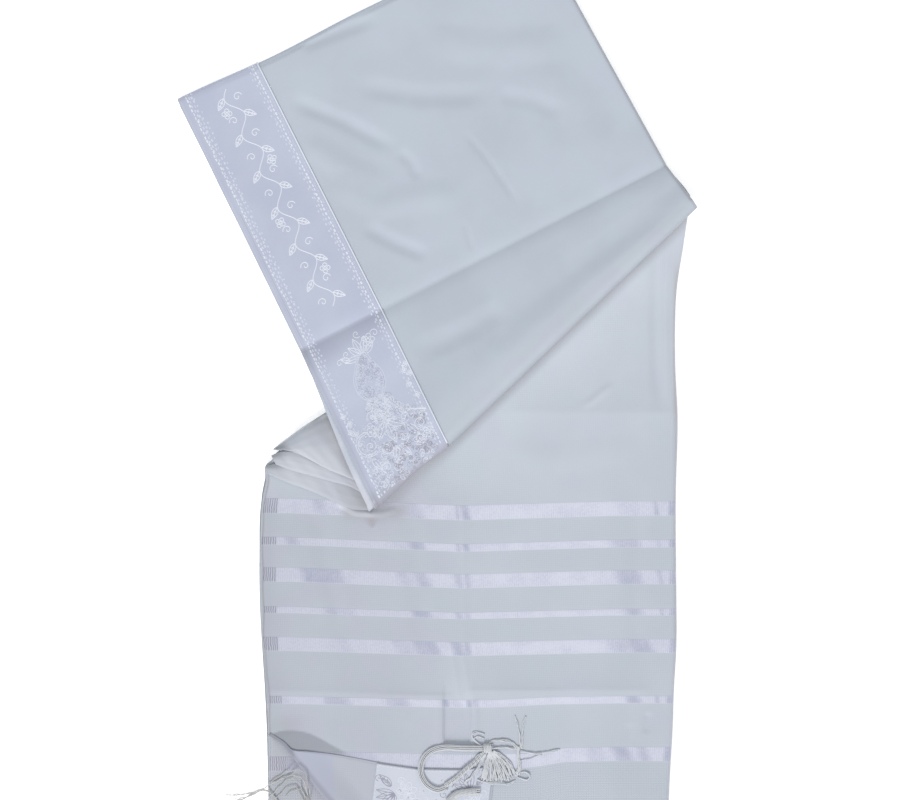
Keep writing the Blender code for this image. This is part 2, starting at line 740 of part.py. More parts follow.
def tube(name, points, radius, resolution):
    """A closed tube mesh along the points."""
    curve = bpy.data.curves.new(name, "CURVE")
    curve.dimensions = "3D"
    curve.bevel_depth = radius * MM
    curve.bevel_resolution = resolution
    curve.use_fill_caps = True
    line = curve.splines.new("POLY")
    line.points.add(len(points) - 1)
    for spot, point in zip(line.points, points):
        spot.co = (*(point * MM), 1.0)
    guide = bpy.data.objects.new(name, curve)
    cutters.objects.link(guide)
    graph = bpy.context.evaluated_depsgraph_get()
    mesh = bpy.data.meshes.new_from_object(guide.evaluated_get(graph))
    bpy.data.objects.remove(guide, do_unlink=True)
    return mesh


def strand_points(knot, strand, surface, height, steps=9):
    points = []
    place = knot.copy()
    for k in range(steps + 1):
        share = k / steps
        lift = strand.lift * math.sin(math.pi * share)
        low = surface(place) + STRAND + GAP
        rise = (height - low) * (1 - ease(0.0, 0.3, share))
        points.append(Vector((place.x, place.y, low + lift + rise)))
        heading = math.radians(strand.angle + strand.bend * share)
        place = place + Vector((math.cos(heading), math.sin(heading))) * strand.length / steps
    return points


def tassel(name, knot, cord, strands, surface, knot_size, finish):
    """A knotted tassel: a wound cord from the corner's hole, its knot, and the strands, fused at the knot."""
    height = surface(knot) + knot_size.z / 2 + GAP
    bm = bmesh.new()
    bmesh.ops.create_uvsphere(bm, u_segments=12, v_segments=8, radius=0.5)
    bmesh.ops.scale(bm, vec=knot_size * MM, verts=bm.verts)
    bmesh.ops.translate(bm, vec=Vector((knot.x, knot.y, height)) * MM, verts=bm.verts)
    head = add_object(name, mesh_from(bm, name), finish)
    lines = []
    for k in range(15):
        plan = through(list(cord), k / 14)
        rest = surface(plan) + WOUND_CORD + GAP
        lines.append(Vector((plan.x, plan.y, lerp(rest, height, ease(0.8, 1.0, k / 14)))))
    meshes = [tube("cord", lines, WOUND_CORD, 1)]
    meshes += [tube("strand", strand_points(knot, s, surface, height), STRAND, 0) for s in strands]
    for k, mesh in enumerate(meshes):
        bm = bmesh.new()
        bm.from_mesh(mesh)
        bmesh.ops.remove_doubles(bm, verts=bm.verts, dist=0.00001)
        bm.to_mesh(mesh)
        bm.free()
        piece = bpy.data.objects.new(f"{name}_{k}", mesh)
        piece.hide_render = True
        piece.display_type = "WIRE"
        cutters.objects.link(piece)
        fuse = head.modifiers.new(f"fuse_{k}", "BOOLEAN")
        fuse.operation = "UNION"
        fuse.object = piece
    return head


# ---------------------------------------------------------------- the shawl

clear_scene()
shawl = bpy.data.collections.new("folded_tallit")
cutters = bpy.data.collections.new("cutters")
bpy.context.scene.collection.children.link(shawl)
bpy.context.scene.collection.children.link(cutters)

cloth = material("cloth", (0.62, 0.66, 0.72), 0.85)
satin = material("satin", (0.66, 0.69, 0.82), 0.4)
cord_white = material("tassel_cord", (0.55, 0.56, 0.53), 0.8)

hidden_layers(cloth)
sheet("cloth_lower", lower_rows(ACROSS), CLOTH, cloth)
upper = panel_rows(PANEL_COLUMNS)
sheet("cloth_upper", upper, CLOTH, cloth)
band_rows = [row[1 : 1 + len(BAND_COLUMNS)] for row in moved_out(upper, GAP + TRIM)][BAND_START:-1]
sheet("neckband", band_rows, TRIM, satin)
sheet("cloth_upper_second", second_edge_rows(), THIN_CLOTH, cloth)
sheet("fanned_layer_one", fanned_rows(LAYER_ONE, HEIGHTS_ONE, REACH_ONE, LAYER_ONE_SINK), CLOTH, cloth)
sheet("fanned_layer_two", fanned_rows(LAYER_TWO, HEIGHTS_TWO), THIN_CLOTH, cloth)
sheet("fanned_layer_three", fanned_rows(LAYER_THREE, HEIGHTS_THREE), THIN_CLOTH, cloth)
second = flat_rows(-158.2, 153.0, HEM_Y + 1, SECOND_BACK_Y - GAP - 0.2, SECOND_TOP, 8, 6)
sheet("cloth_lower_second", second, THIN_CLOTH, cloth)
sheet("corner_flap", flap_rows(), CLOTH, cloth)
sheet("corner_patch", patch_rows(), TRIM, satin)
low_patch = flat_rows(-156.4, -156.4 + PATCH_SIDE, HEM_Y + 3, HEM_Y + 3 + PATCH_SIDE, SECOND_TOP + GAP + TRIM, 4, 4)
sheet("corner_patch_second", low_patch, TRIM, satin)
tassel("tzitzit_near", NEAR_KNOT, NEAR_CORD, NEAR_STRANDS, near_surface, Vector((15, 12, 7)), cord_white)
tassel("tzitzit_left", LEFT_KNOT, LEFT_CORD, LEFT_STRANDS, left_surface, Vector((9, 12, 6)), cord_white)
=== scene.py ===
"""The looks of a folded tallit: striped cloth, a satin neckband, embroidered corners and knotted tassels.

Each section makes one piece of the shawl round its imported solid, in the order in which the cloth is folded
and dressed. Sizes are in millimetres until a mesh is made. +X is across the folded strip, +Y along it and
+Z up."""

import math
import random
from collections import namedtuple

import bpy
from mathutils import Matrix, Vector
from mathutils.bvhtree import BVHTree


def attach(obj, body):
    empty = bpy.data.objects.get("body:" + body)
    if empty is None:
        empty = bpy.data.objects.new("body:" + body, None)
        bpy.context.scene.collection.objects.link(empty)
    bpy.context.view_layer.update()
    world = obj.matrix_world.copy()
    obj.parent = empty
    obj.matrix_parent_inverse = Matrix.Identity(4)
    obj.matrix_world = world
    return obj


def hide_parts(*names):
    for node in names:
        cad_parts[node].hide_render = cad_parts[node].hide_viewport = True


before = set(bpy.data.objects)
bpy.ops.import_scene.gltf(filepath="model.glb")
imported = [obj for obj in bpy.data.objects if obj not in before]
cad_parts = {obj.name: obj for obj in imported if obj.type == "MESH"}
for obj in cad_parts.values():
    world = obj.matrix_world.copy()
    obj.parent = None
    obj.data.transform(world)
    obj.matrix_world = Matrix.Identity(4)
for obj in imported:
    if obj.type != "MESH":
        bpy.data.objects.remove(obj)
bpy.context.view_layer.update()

# ---------------------------------------------------------------- the folded layers
# Most of the shawl lies out of sight: four thicknesses across, doubled over at the middle, and three times
# that where the strip turns back on itself. They are one soft stack whose folded edges show all round as
# thin rounded layers.
MM = 0.001
SHAWL_WIDTH = 1300.0
SHAWL_LENGTH = 1760.0
FOLDS_ACROSS = 4
CREASES_ALONG = 8
STRIP_WIDTH = SHAWL_WIDTH / FOLDS_ACROSS
CREASE_SPACING = SHAWL_LENGTH / CREASES_ALONG
HEM_Y = -2 * CREASE_SPACING
CLOTH = 1.2
GAP = 0.4
STACK_TOP = 8.0
STACK_CORE = STACK_TOP - CLOTH - GAP
CORE_SLACK = 0.3
CREASE_ROOM = 1.6
SECOND_TOP = 5.0
SECOND_SLACK = 0.2
SECOND_BACK_Y = -236.0
FOLDED_LAYERS = 8
SEAM_DEPTH = 1.1
EDGE_MARGIN = 0.3
LOWER_STATIONS, BUNCH_STATIONS, PANEL_STATIONS = 110, 4, 56
TOP_SHARES = (0.03, 0.12, 0.19, 0.27, 0.36, 0.48, 0.6, 0.73, 0.86, 0.95)
CLOTH_WHITE = (0.520, 0.582, 0.655, 1.0)
CLOTH_COOL = (0.496, 0.552, 0.622, 1.0)
CLOTH_MAUVE = (0.520, 0.548, 0.658, 1.0)
CLOTH_SHADE = (0.44, 0.48, 0.57, 1.0)
# The colour that painted warm shade multiplies into the cloth.
WARM_SHADE = (0.74, 0.62, 0.56, 1.0)
CLOTH_ROUGHNESS, CLOTH_SHEEN = 0.9, 0.15
SMOOTH_WEAVE = 0.9


def lerp(a, b, t):
    return a + (b - a) * t


def ease(low, high, x):
    """0 below low, 1 above high, and a smooth rise between."""
    t = min(1.0, max(0.0, (x - low) / (high - low)))
    return t * t * (3 - 2 * t)


def fall(low, high, x):
    """1 below low, 0 above high, and a smooth fall between."""
    return 1 - ease(low, high, x)


def hump(x, centre, reach):
    """A smooth hump, 1 at its centre and 0 at its reach to either side."""
    return fall(0.0, reach, abs(x - centre))


def through(points, fraction):
    """A point on a smooth curve that passes through the points."""
    place = fraction * (len(points) - 1)
    i = min(int(place), len(points) - 2)
    t = place - i
    a, b = points[i], points[i + 1]
    before = points[i - 1] if i > 0 else b + (a - b) * 2
    after = points[i + 2] if i + 2 < len(points) else a + (b - a) * 2
    into, out = (b - before) / 2, (after - a) / 2
    return (
        a * (2 * t**3 - 3 * t**2 + 1)
        + into * (t**3 - 2 * t**2 + t)
        + b * (3 * t**2 - 2 * t**3)
        + out * (t**3 - t**2)
    )


def steps_to(count):
    """Even fractions from 0 to 1."""
    return [k / count for k in range(count + 1)]


# Sections across the strip, from the hem up to where it goes under the roll: left edge, bend and right
# edge in plan.
Section = namedtuple("Section", "left_x left_y bend_x bend_y right_x right_y")
BEND = 0.27
LOWER_SECTIONS = (
    Section(-158.8, HEM_Y, -73.2, HEM_Y, 158.4, HEM_Y),
    Section(-159.0, -395.0, -73.3, -395.0, 158.4, -395.0),
    Section(-159.2, -350.0, -73.4, -350.0, 158.5, -350.0),
    Section(-159.4, -305.0, -73.5, -305.0, 158.8, -305.0),
    Section(-160.2, -256.0, -73.3, -257.5, 161.5, -256.0),
    Section(-161.8, -220.0, -74.0, -222.0, 162.8, -220.0),
    Section(-164.6, -181.0, -75.6, -184.0, 164.8, -181.0),
    Section(-166.3, -141.0, -77.0, -145.0, 164.4, -125.0),
    Section(-166.0, -108.0, -78.0, -114.0, 164.2, -66.0),
    Section(-165.8, -86.0, -78.0, -97.0, 165.6, -10.0),
    Section(-164.5, -68.0, -77.5, -89.0, 163.6, 42.0),
    Section(-162.5, -57.0, -77.0, -84.5, 164.5, 92.0),
    Section(-161.6, -51.5, -77.5, -80.0, 170.0, 130.0),
    Section(-161.6, -44.0, -82.5, -69.5, 175.6, 168.0),
)


def place_across(left, bend, right, t):
    if t < BEND:
        return lerp(left, bend, t / BEND)
    return lerp(bend, right, (t - BEND) / (1 - BEND))


def section_corners(fraction):
    """The left edge, the bend and the right edge, in plan, at a fraction of the way up the lower strip."""
    return [through([Vector(s[k : k + 2]) for s in LOWER_SECTIONS], fraction) for k in (0, 2, 4)]


# Sections of the stack between the strip and the panel. pile is how much higher its left part stands.
Bunch = namedtuple("Bunch", "left_x left_y bend_x bend_y right_x right_y pile")
BUNCH_SECTIONS = (
    Bunch(-161.4, -43.0, -84.0, -66.5, 175.8, 169.0, 0.0),
    Bunch(-160.0, -41.0, -85.0, -63.0, 176.2, 170.0, 1.6),
    Bunch(-156.0, -38.0, -87.0, -55.0, 176.4, 171.5, 1.8),
    Bunch(-152.0, -32.0, -90.0, -42.0, 176.0, 173.0, 4.2),
    Bunch(-131.6, -16.0, -92.0, -11.0, 174.5, 175.0, 3.0),
    Bunch(-110.5, -2.6, -60.0, 28.0, 172.5, 178.0, 0.0),
    Bunch(-122.5, 24.0, -58.0, 58.0, 166.0, 186.0, 0.0),
)
# The upper panel's corners in plan: the roll where the strip turns, the valley crease, and the shawl's
# middle fold.
ROLL_LEFT = Vector((-74.0, -76.5))
ROLL_RIGHT = Vector((178.4, 166.0))
VALLEY_LEFT = Vector((-133.5, 48.4))
VALLEY_RIGHT = Vector((157.0, 196.0))
TOP_LEFT = Vector((-231.6, 248.0))
TOP_RIGHT = Vector((52.0, 386.0))
TO_FOLD = (TOP_LEFT - VALLEY_LEFT).normalized()
ACROSS_PANEL = (VALLEY_RIGHT - VALLEY_LEFT).normalized()
FOLD_INSET = 5.4
Station = namedtuple("Station", "left bend right core room pile")


def top_edge_shift(t):
    """The middle fold isn't quite straight: it dips a little beside the neckband."""
    return -2.0 * hump(t, 0.27, 0.25)


def stack_stations():
    """Stations along the stack from the hem to the middle fold, some 4 mm apart."""
    found = []
    for fraction in steps_to(LOWER_STATIONS)[:-1]:
        left, bend, right = section_corners(fraction)
        core, room = STACK_CORE - CORE_SLACK, CREASE_ROOM
        if left.y < SECOND_BACK_Y:
            core, room = SECOND_TOP - CLOTH - SECOND_SLACK, 0.0
        found.append(Station(left, bend, right, core, room, 0.0))
    for near, far in zip(BUNCH_SECTIONS, BUNCH_SECTIONS[1:]):
        for t in steps_to(BUNCH_STATIONS)[:-1]:
            x = [lerp(a, b, t) for a, b in zip(near, far)]
            corners = [Vector(x[k : k + 2]) for k in (0, 2, 4)]
            found.append(Station(*corners, STACK_CORE, 0.0, x[-1]))
    inset = TO_FOLD * -FOLD_INSET
    for t in steps_to(PANEL_STATIONS):
        left = lerp(VALLEY_LEFT, TOP_LEFT + inset, t)
        right = lerp(VALLEY_RIGHT, TOP_RIGHT + inset, t)
        found.append(Station(left, lerp(left, right, BEND), right, STACK_CORE - CORE_SLACK, CREASE_ROOM, 0.0))
    return found


def layered_inset(level, levels, along, side):
    """How far a folded edge lies inside the outline. Seams between layers go deeper, and no two lie alike."""
    layer = level // 2
    seam = SEAM_DEPTH if level % 2 == 0 else 0.0
    uneven = 0.45 * math.sin(layer * 2.3 + side + along * 0.11) + 0.35 * math.sin(layer * 5.1 + along * 0.047)
    under_turned_edge = 0.9 + 2.6 * ease(0.42, 0.5, level / levels) if side > 0 else 0.0
    return EDGE_MARGIN + seam + uneven + under_turned_edge


def stack_ring(index, station):
    """One closed section of the stack: up its layered left side, across its top, and down its right side."""
    left, bend, right, core, room, pile = station
    levels = FOLDED_LAYERS * 2
    into_left, into_right = (bend - left).normalized(), (bend - right).normalized()
    ring = []
    for level in range(levels + 1):
        plan = left + into_left * layered_inset(level, levels, index, 0)
        ring.append(Vector((plan.x, plan.y, (core + pile) * level / levels)))
    for t in TOP_SHARES:
        plan = place_across(left, bend, right, t)
        fade = fall(0.22, 0.42, t)
        ring.append(Vector((plan.x, plan.y, core - room + pile * fade)))
    for level in reversed(range(levels + 1)):
        plan = right + into_right * layered_inset(level, levels, index, 1)
        ring.append(Vector((plan.x, plan.y, core * level / levels)))
    return ring


def add_piece(name, mesh, finish):
    piece = bpy.data.objects.new(name, mesh)
    bpy.context.scene.collection.objects.link(piece)
    mesh.materials.append(finish)
    mesh.shade_smooth()
    return piece


def put_cut(mesh, cut):
    """Stores where each point lies on the cut cloth, in metres across and along, as the map named cut."""
    layer = mesh.uv_layers.new(name="cut")
    for loop, spot in zip(mesh.loops, layer.data):
        across, along = cut[loop.vertex_index]
        spot.uv = (across * MM, along * MM)


# How dull the satin's painted sheen is at a point, how deep the painted warm shade, where the satin is
# painted out because it lies in shade, and how much painted light or shade lightens or darkens the cloth.
Tone = namedtuple("Tone", "dull warm plain light", defaults=(0.0, 0.0, 0.0, 0.0))


def put_tone(mesh, tones):
    """Stores each point's painted sheen, shade and light, for the finishes to read."""
    shades = mesh.attributes.new("tone", "FLOAT_VECTOR", "POINT")
    shades.data.foreach_set("vector", [share for tone in tones for share in tone[:3]])
    lights = mesh.attributes.new("light", "FLOAT", "POINT")
    lights.data.foreach_set("value", [1.0 + tone.light for tone in tones])


def loft_mesh(name, rings):
    """A closed skin over rings of points, with its ends filled."""
    count = len(rings[0])
    faces = []
    for i in range(len(rings) - 1):
        for k in range(count):
            n = (k + 1) % count
            faces.append((i * count + k, (i + 1) * count + k, (i + 1) * count + n, i * count + n))
    last = (len(rings) - 1) * count
    faces.append(tuple(range(count)))
    faces.append(tuple(last + k for k in reversed(range(count))))
    mesh = bpy.data.meshes.new(name)
    mesh.from_pydata([point * MM for ring in rings for point in ring], [], faces)
    put_cut(mesh, [(point.x, point.y) for ring in rings for point in ring])
    # The hidden layers get an even painted warm shade all over.
    put_tone(mesh, [Tone(warm=0.2)] * (count * len(rings)))
    return mesh


class Signal:
    """One output of a shader node, so that a pattern can be written as an expression on such outputs."""

    def __init__(self, tree, socket=None):
        self.tree, self.socket = tree, socket

    def node(self, kind, settings=(), inputs=(), output=0):
        """Adds a node, sets it up, gives its sockets values or links, and returns one of its outputs."""
        made = self.tree.nodes.new("ShaderNode" + kind)
        for key, value in dict(settings).items():
            setattr(made, key, value)
        for key, value in dict(inputs).items():
            if isinstance(value, Signal):
                self.tree.links.new(value.socket, made.inputs[key])
            else:
                made.inputs[key].default_value = value
        return Signal(self.tree, made.outputs[output])

    def maths(self, operation, other=0.0):
        return self.node("Math", {"operation": operation}, {0: self, 1: other})

    def __add__(self, other):
        return self.maths("ADD", other)

    def __sub__(self, other):
        return self.maths("SUBTRACT", other)

    def __rsub__(self, other):
        return self.node("Math", {"operation": "SUBTRACT"}, {0: other, 1: self})

    def __mul__(self, other):
        return self.maths("MULTIPLY", other)

    __radd__, __rmul__ = __add__, __mul__

    def rise(self, low, high):
        """0 below low, 1 above high, and a smooth rise between."""
        ends = {"Value": self, "From Min": low, "From Max": high}
        return self.node("MapRange", {"interpolation_type": "SMOOTHSTEP"}, ends)

    def between(self, low, high, soft):
        return self.rise(low - soft, low + soft) * (1 - self.rise(high - soft, high + soft))

    def blend(self, a, b):
        """Colour a where this is 0, and colour b where it is 1."""
        return self.node("Mix", {"data_type": "RGBA"}, {0: self, 6: a, 7: b}, output=2)

    def wave(self, pitch):
        """A sine wave along this length, one period to each pitch."""
        return (self * (2 * math.pi / pitch)).maths("SINE")

    def bump(self, depth, strength):
        return self.node("Bump", {}, {"Strength": strength, "Distance": depth * MM, "Height": self})

    def noise(self, scale, detail):
        """Soft noise over this place, with about so many cells to the metre."""
        return self.node("TexNoise", {}, {"Vector": self, "Scale": scale, "Detail": detail})

    def part(self, k):
        """The X, Y or Z of this place, as k is 0, 1 or 2."""
        return self.node("SeparateXYZ", {}, {0: self}, output=k)


def feed(finish, **sockets):
    """Gives sockets of the finish's shader, named with _ for a space, their values or signals."""
    shader = finish.node_tree.nodes["Principled BSDF"]
    for name, value in sockets.items():
        socket = shader.inputs[name.replace("_", " ")]
        if isinstance(value, Signal):
            value.tree.links.new(value.socket, socket)
        else:
            socket.default_value = value


def even_finish(name, **sockets):
    """A material with one Principled shader, the same all over."""
    made = bpy.data.materials.new(name)
    made.use_nodes = True
    feed(made, **sockets)
    return made


def start_finish(name, roughness, sheen):
    """A material to feed with a pattern, the cut's place, its lengths across and along, and the tone."""
    made = even_finish(name, Roughness=roughness, Sheen_Weight=sheen, Sheen_Roughness=0.5)
    start = Signal(made.node_tree)
    cut = start.node("UVMap", {"uv_map": "cut"})
    across, along = (cut.part(k) * (1 / MM) for k in range(2))
    shades = start.node("Attribute", {"attribute_name": "tone"}, output=1)
    light = start.node("Attribute", {"attribute_name": "light"}, output=2)
    return made, cut, across, along, Tone(*(shades.part(k) for k in range(3)), light)


def weave(across, along, pitch):
    """A plain weave's height, and where its openings are."""
    warp, weft = across.wave(pitch), along.wave(pitch)
    opening = (warp.maths("MAXIMUM", 0.0) * weft.maths("MAXIMUM", 0.0)).rise(0.15, 0.85)
    return warp * weft * 0.5 - opening, opening


def uneven_white(cut, openings, mauve, white, cool=CLOTH_COOL, tint=CLOTH_MAUVE):
    """The cloth's white, cooler or more mauve in soft patches, and darker in the weave's openings."""
    patch = cut.noise(17.0, 3.0).rise(0.36, 0.64)
    other = cut.noise(29.0, 2.0).rise(0.4, 0.66)
    tinted = (other * mauve).blend(patch.blend(white, cool), tint)
    return openings.blend(tinted, CLOTH_SHADE)


def toned(colour, tone):
    """The colour with the stored painted warm shade, darkened or lightened by the stored painted light."""
    multiply = {"data_type": "RGBA", "blend_type": "MULTIPLY"}
    warmed = colour.node("Mix", multiply, {0: tone.warm, 6: colour, 7: WARM_SHADE}, 2)
    return warmed.node("Mix", multiply, {0: 1.0, 6: warmed, 7: tone.light}, 2)


def cloth_finish(name, pitch, openness, white=CLOTH_WHITE):
    """Plain cloth: a fine white weave, its white a little uneven, its openings a little darker."""
    made, cut, across, along, tone = start_finish(name, CLOTH_ROUGHNESS, CLOTH_SHEEN)
    height, opening = weave(across, along, pitch)
    slub = cut.noise(260.0, 2.0)
    shaded = toned(uneven_white(cut, opening * openness, 0.3, white), tone)
    feed(made, Base_Color=shaded, Normal=(height + slub * 0.6).bump(0.12, 0.5))
    return made


smooth_cloth = cloth_finish("smooth_white_cloth", SMOOTH_WEAVE, openness=0.2)
stack = add_piece(
    "folded_layers",
    loft_mesh("folded_layers", [stack_ring(i, station) for i, station in enumerate(stack_stations())]),
    smooth_cloth,
)
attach(stack, "root")


# ---------------------------------------------------------------- the heap under the roll
# Between its two slanting turns the strip lies on itself twice more, so the layers heap up under the
# panel. The heap ends inside the panel's roll and slopes down to the valley crease.
PILE_TOP = 23.5
PILE_TOP_RIGHT = 13.5
ROLL_FOOT = STACK_TOP + 0.6
ROLL_RETURN = 4.0
PILE_RETURN = 7.0
PILE_BOTTOM = 3.0
PILE_INSET_LEFT = 11.0
LEVEL_SHARE = 0.45
VALLEY_DEPTH = 1.6
VALLEY_REACH = 12.0
ROLL_BULGE = 4.8
EDGE_TURN = ((1.5, -0.4), (2.6, -1.5), (3.0, -3.0), (3.0, -4.2))
EDGE_OUT = EDGE_TURN[-1][0]
FLOOR_ROOM = 1.4
UNDER_PANEL = CLOTH + GAP + 0.1
PANEL_SWELL = 0.9
ROLL_ANGLES = range(270, 89, -12)
TOP_ANGLES = range(90, -71, -16)
SLOPE_LINES = 56
PANEL_LINES = 96
# A crease is a soft ridge, or a trough where its height is negative, on two straight runs through three plan
# points.
Crease = namedtuple("Crease", "x1 y1 x2 y2 x3 y3 height reach")
PANEL_CREASES = (
    Crease(-144.3, 249.0, -98.3, 230.0, -56.3, 207.8, -1.6, 9),
    Crease(-56.3, 207.8, -45.2, 197.5, -39.6, 184.0, -1.1, 7),
    Crease(-92.8, 259.3, -35.7, 250.6, 20.6, 252.2, -1.4, 12),
    Crease(20.6, 252.2, 48.4, 247.4, 76.9, 237.1, -0.9, 10),
    Crease(-4.8, 223.6, 18.2, 195.9, 41.2, 161.8, -0.8, 3.2),
    Crease(-4.0, 151.5, 0.0, 138.0, 4.0, 125.3, -0.6, 2.8),
    Crease(-84.9, 148.3, -57.9, 134.0, -30.9, 122.9, -1.6, 9),
    Crease(-134.0, 290.2, -113.4, 298.2, -70.6, 314.0, -1.8, 9),
    Crease(-110.2, 184.0, -70.6, 164.2, 0.8, 176.0, 1.4, 16),
    Crease(-134.0, 215.7, -102.3, 195.9, -58.7, 176.0, 1.1, 14),
    Crease(56.3, 279.1, 88.0, 239.5, 103.9, 199.8, 1.1, 22),
    Crease(-38.9, 295.0, 24.6, 287.1, 80.1, 295.0, 1.1, 18),
    Crease(-46.0, 45.0, 0.8, 66.0, 30.0, 84.0, -1.5, 13),
    Crease(16.0, 49.0, 38.0, 76.0, 78.0, 106.0, -1.1, 17),
    Crease(58.0, 92.0, 113.4, 131.6, 160.0, 164.0, -1.3, 15),
)


def crease_height(creases, x, y):
    """The sum of the creases at a plan point. Each fades out towards its ends."""
    total = 0.0
    for c in creases:
        if abs(x - c.x2) > abs(c.x3 - c.x1) + c.reach or abs(y - c.y2) > abs(c.y3 - c.y1) + c.reach:
            continue
        nearest, along = 1e9, 0.0
        for k, (ax, ay, bx, by) in enumerate(((c.x1, c.y1, c.x2, c.y2), (c.x2, c.y2, c.x3, c.y3))):
            dx, dy = bx - ax, by - ay
            t = min(1.0, max(0.0, ((x - ax) * dx + (y - ay) * dy) / (dx * dx + dy * dy)))
            far = math.hypot(x - ax - dx * t, y - ay - dy * t)
            if far < nearest:
                nearest, along = far, (k + t) / 2
        ends = ease(-0.02, 0.22, along) * fall(0.78, 1.02, along)
        total += c.height * fall(0.0, c.reach, nearest) * ends
    return total


# A pressed crease is a sharp straight ridge, or a valley where its height is negative, that falls off to
# both sides.
Pressed = namedtuple("Pressed", "x1 y1 x2 y2 height reach")


def pressed_height(creases, x, y):
    total = 0.0
    for c in creases:
        dx, dy = c.x2 - c.x1, c.y2 - c.y1
        along = ((x - c.x1) * dx + (y - c.y1) * dy) / (dx * dx + dy * dy)
        far = abs((x - c.x1) * dy - (y - c.y1) * dx) / math.hypot(dx, dy)
        ends = ease(-0.03, 0.1, along) * fall(0.9, 1.03, along)
        total += c.height * math.exp(-far / c.reach) * ends
    return total


def pile_top(t):
    """The height of the roll's crest, from the left edge to the right."""
    return lerp(PILE_TOP, PILE_TOP_RIGHT, t**0.85)


# The panel's two stretches, from the roll to the valley crease and on to the middle fold, by their corners.
SLOPE = (ROLL_LEFT, ROLL_RIGHT, VALLEY_LEFT, VALLEY_RIGHT)
LEVEL = (VALLEY_LEFT, VALLEY_RIGHT, TOP_LEFT, TOP_RIGHT)


def panel_place(stretch, step, t):
    """A plan point on a stretch of the panel, a step of the way up it and t across."""
    near_left, near_right, far_left, far_right = stretch
    left, right = lerp(near_left, far_left, step), lerp(near_right, far_right, step)
    right = right + (left - right).normalized() * EDGE_OUT
    return lerp(left, right, t)


def slope_height(step, t):
    """Level behind the roll, a soft fall halfway, a plateau, then ever steeper to the valley crease."""
    first = ease(0.16, 0.58, step)
    last = max(0.0, (step - LEVEL_SHARE) / (1 - LEVEL_SHARE)) ** 1.6
    return lerp(pile_top(t), STACK_TOP, (first + last) / 2)


def crest_step(t):
    """How far up the slope the roll's crest lies."""
    run = panel_place(SLOPE, 1.0, t) - panel_place(SLOPE, 0.0, t)
    return (pile_top(t) - ROLL_FOOT) / 2 / run.length


def panel_swell(step, t):
    return PANEL_SWELL * math.sin(2.6 * math.pi * step) * math.sin(math.pi * t)


def valley_dip(plan):
    """How far the pressed valley crease draws the cloth down at this plan point."""
    off = plan - VALLEY_LEFT
    far = abs(ACROSS_PANEL.x * off.y - ACROSS_PANEL.y * off.x)
    return -VALLEY_DEPTH * max(0.0, 1 - far / VALLEY_REACH) ** 2.2


def roll_point(t, angle, run_on=0.0):
    """A point round the roll at the slanting turn. An angle of 90 is its crest, and 270 its foot."""
    radius = (pile_top(t) - ROLL_FOOT) / 2
    bulge = ROLL_BULGE * ease(0.12, 0.25, t)
    start = panel_place(SLOPE, 0.0, t)
    heading = (panel_place(SLOPE, 1.0, t) - start).normalized()
    turn = math.radians(angle)
    plan = start + heading * (radius + (radius + bulge) * math.cos(turn) + run_on)
    return Vector((plan.x, plan.y, ROLL_FOOT + radius + radius * math.sin(turn)))


def turned_edge(row, share):
    """Carries a row on over a folded edge at its right end. share is how much of the turn down it takes."""
    heading = row[-1] - row[-2]
    heading.z = 0
    heading.normalize()
    last = row[-1]
    return row + [last + heading * out + Vector((0, 0, down * share)) for out, down in EDGE_TURN]


def panel_rows(columns, turn_edge, return_run=ROLL_RETURN):
    """The upper panel's outer face: round the roll, down to the valley crease, and over the middle fold."""
    rows = [[roll_point(t, 270, return_run * lerp(1, 0.5, t)) for t in columns]]
    rows += [[roll_point(t, angle) for t in columns] for angle in ROLL_ANGLES]
    for share in steps_to(SLOPE_LINES)[1:]:
        row = []
        for t in columns:
            step = lerp(crest_step(t), 1.0, share)
            plan = panel_place(SLOPE, step, t)
            folds = valley_dip(plan) + crease_height(PANEL_CREASES, plan.x, plan.y) * ease(0.05, 0.25, step)
            row.append(Vector((plan.x, plan.y, slope_height(step, t) + folds)))
        rows.append(row)
    for step in steps_to(PANEL_LINES)[1:-2]:
        row = []
        for t in columns:
            plan = panel_place(LEVEL, step, t)
            plan += TO_FOLD * top_edge_shift(t) * ease(0.8, 1.0, step)
            folds = valley_dip(plan) + crease_height(PANEL_CREASES, plan.x, plan.y)
            row.append(Vector((plan.x, plan.y, STACK_TOP + panel_swell(step, t) + folds)))
        rows.append(row)
    radius = STACK_TOP / 2 - 0.2
    for angle in TOP_ANGLES:
        turn = math.radians(angle)
        row = []
        for t in columns:
            plan = panel_place(LEVEL, 1.0, t) + TO_FOLD * (radius * (math.cos(turn) - 1) + top_edge_shift(t))
            row.append(Vector((plan.x, plan.y, STACK_TOP - radius + radius * math.sin(turn))))
        rows.append(row)
    if not turn_edge:
        return rows
    crest = len(ROLL_ANGLES)
    turned = []
    for i, row in enumerate(rows):
        room = (row[-1].z - FLOOR_ROOM) / -EDGE_TURN[-1][1]
        share = min(1.0, max(0.0, room)) * ease(crest - 1, crest + 6, i)
        turned.append(turned_edge(row, share))
    return turned


ROLL_ROWS = 1 + len(ROLL_ANGLES)
VALLEY_ROWS = ROLL_ROWS + SLOPE_LINES


def ahead_at(path, k):
    """How a path runs past its point k."""
    return path[min(k + 1, len(path) - 1)] - path[max(k - 1, 0)]


def normals_of(rows):
    """The upward normal at each point of a grid of points."""
    found = []
    for i, row in enumerate(rows):
        near, far = rows[max(i - 1, 0)], rows[min(i + 1, len(rows) - 1)]
        found.append([ahead_at(row, j).cross(far[j] - near[j]).normalized() for j in range(len(row))])
    return found


def moved_out(rows, distance):
    """The grid's points moved along their normals, outwards where the distance is positive."""
    return [
        [point + normal * distance for point, normal in zip(row, normals)]
        for row, normals in zip(rows, normals_of(rows))
    ]


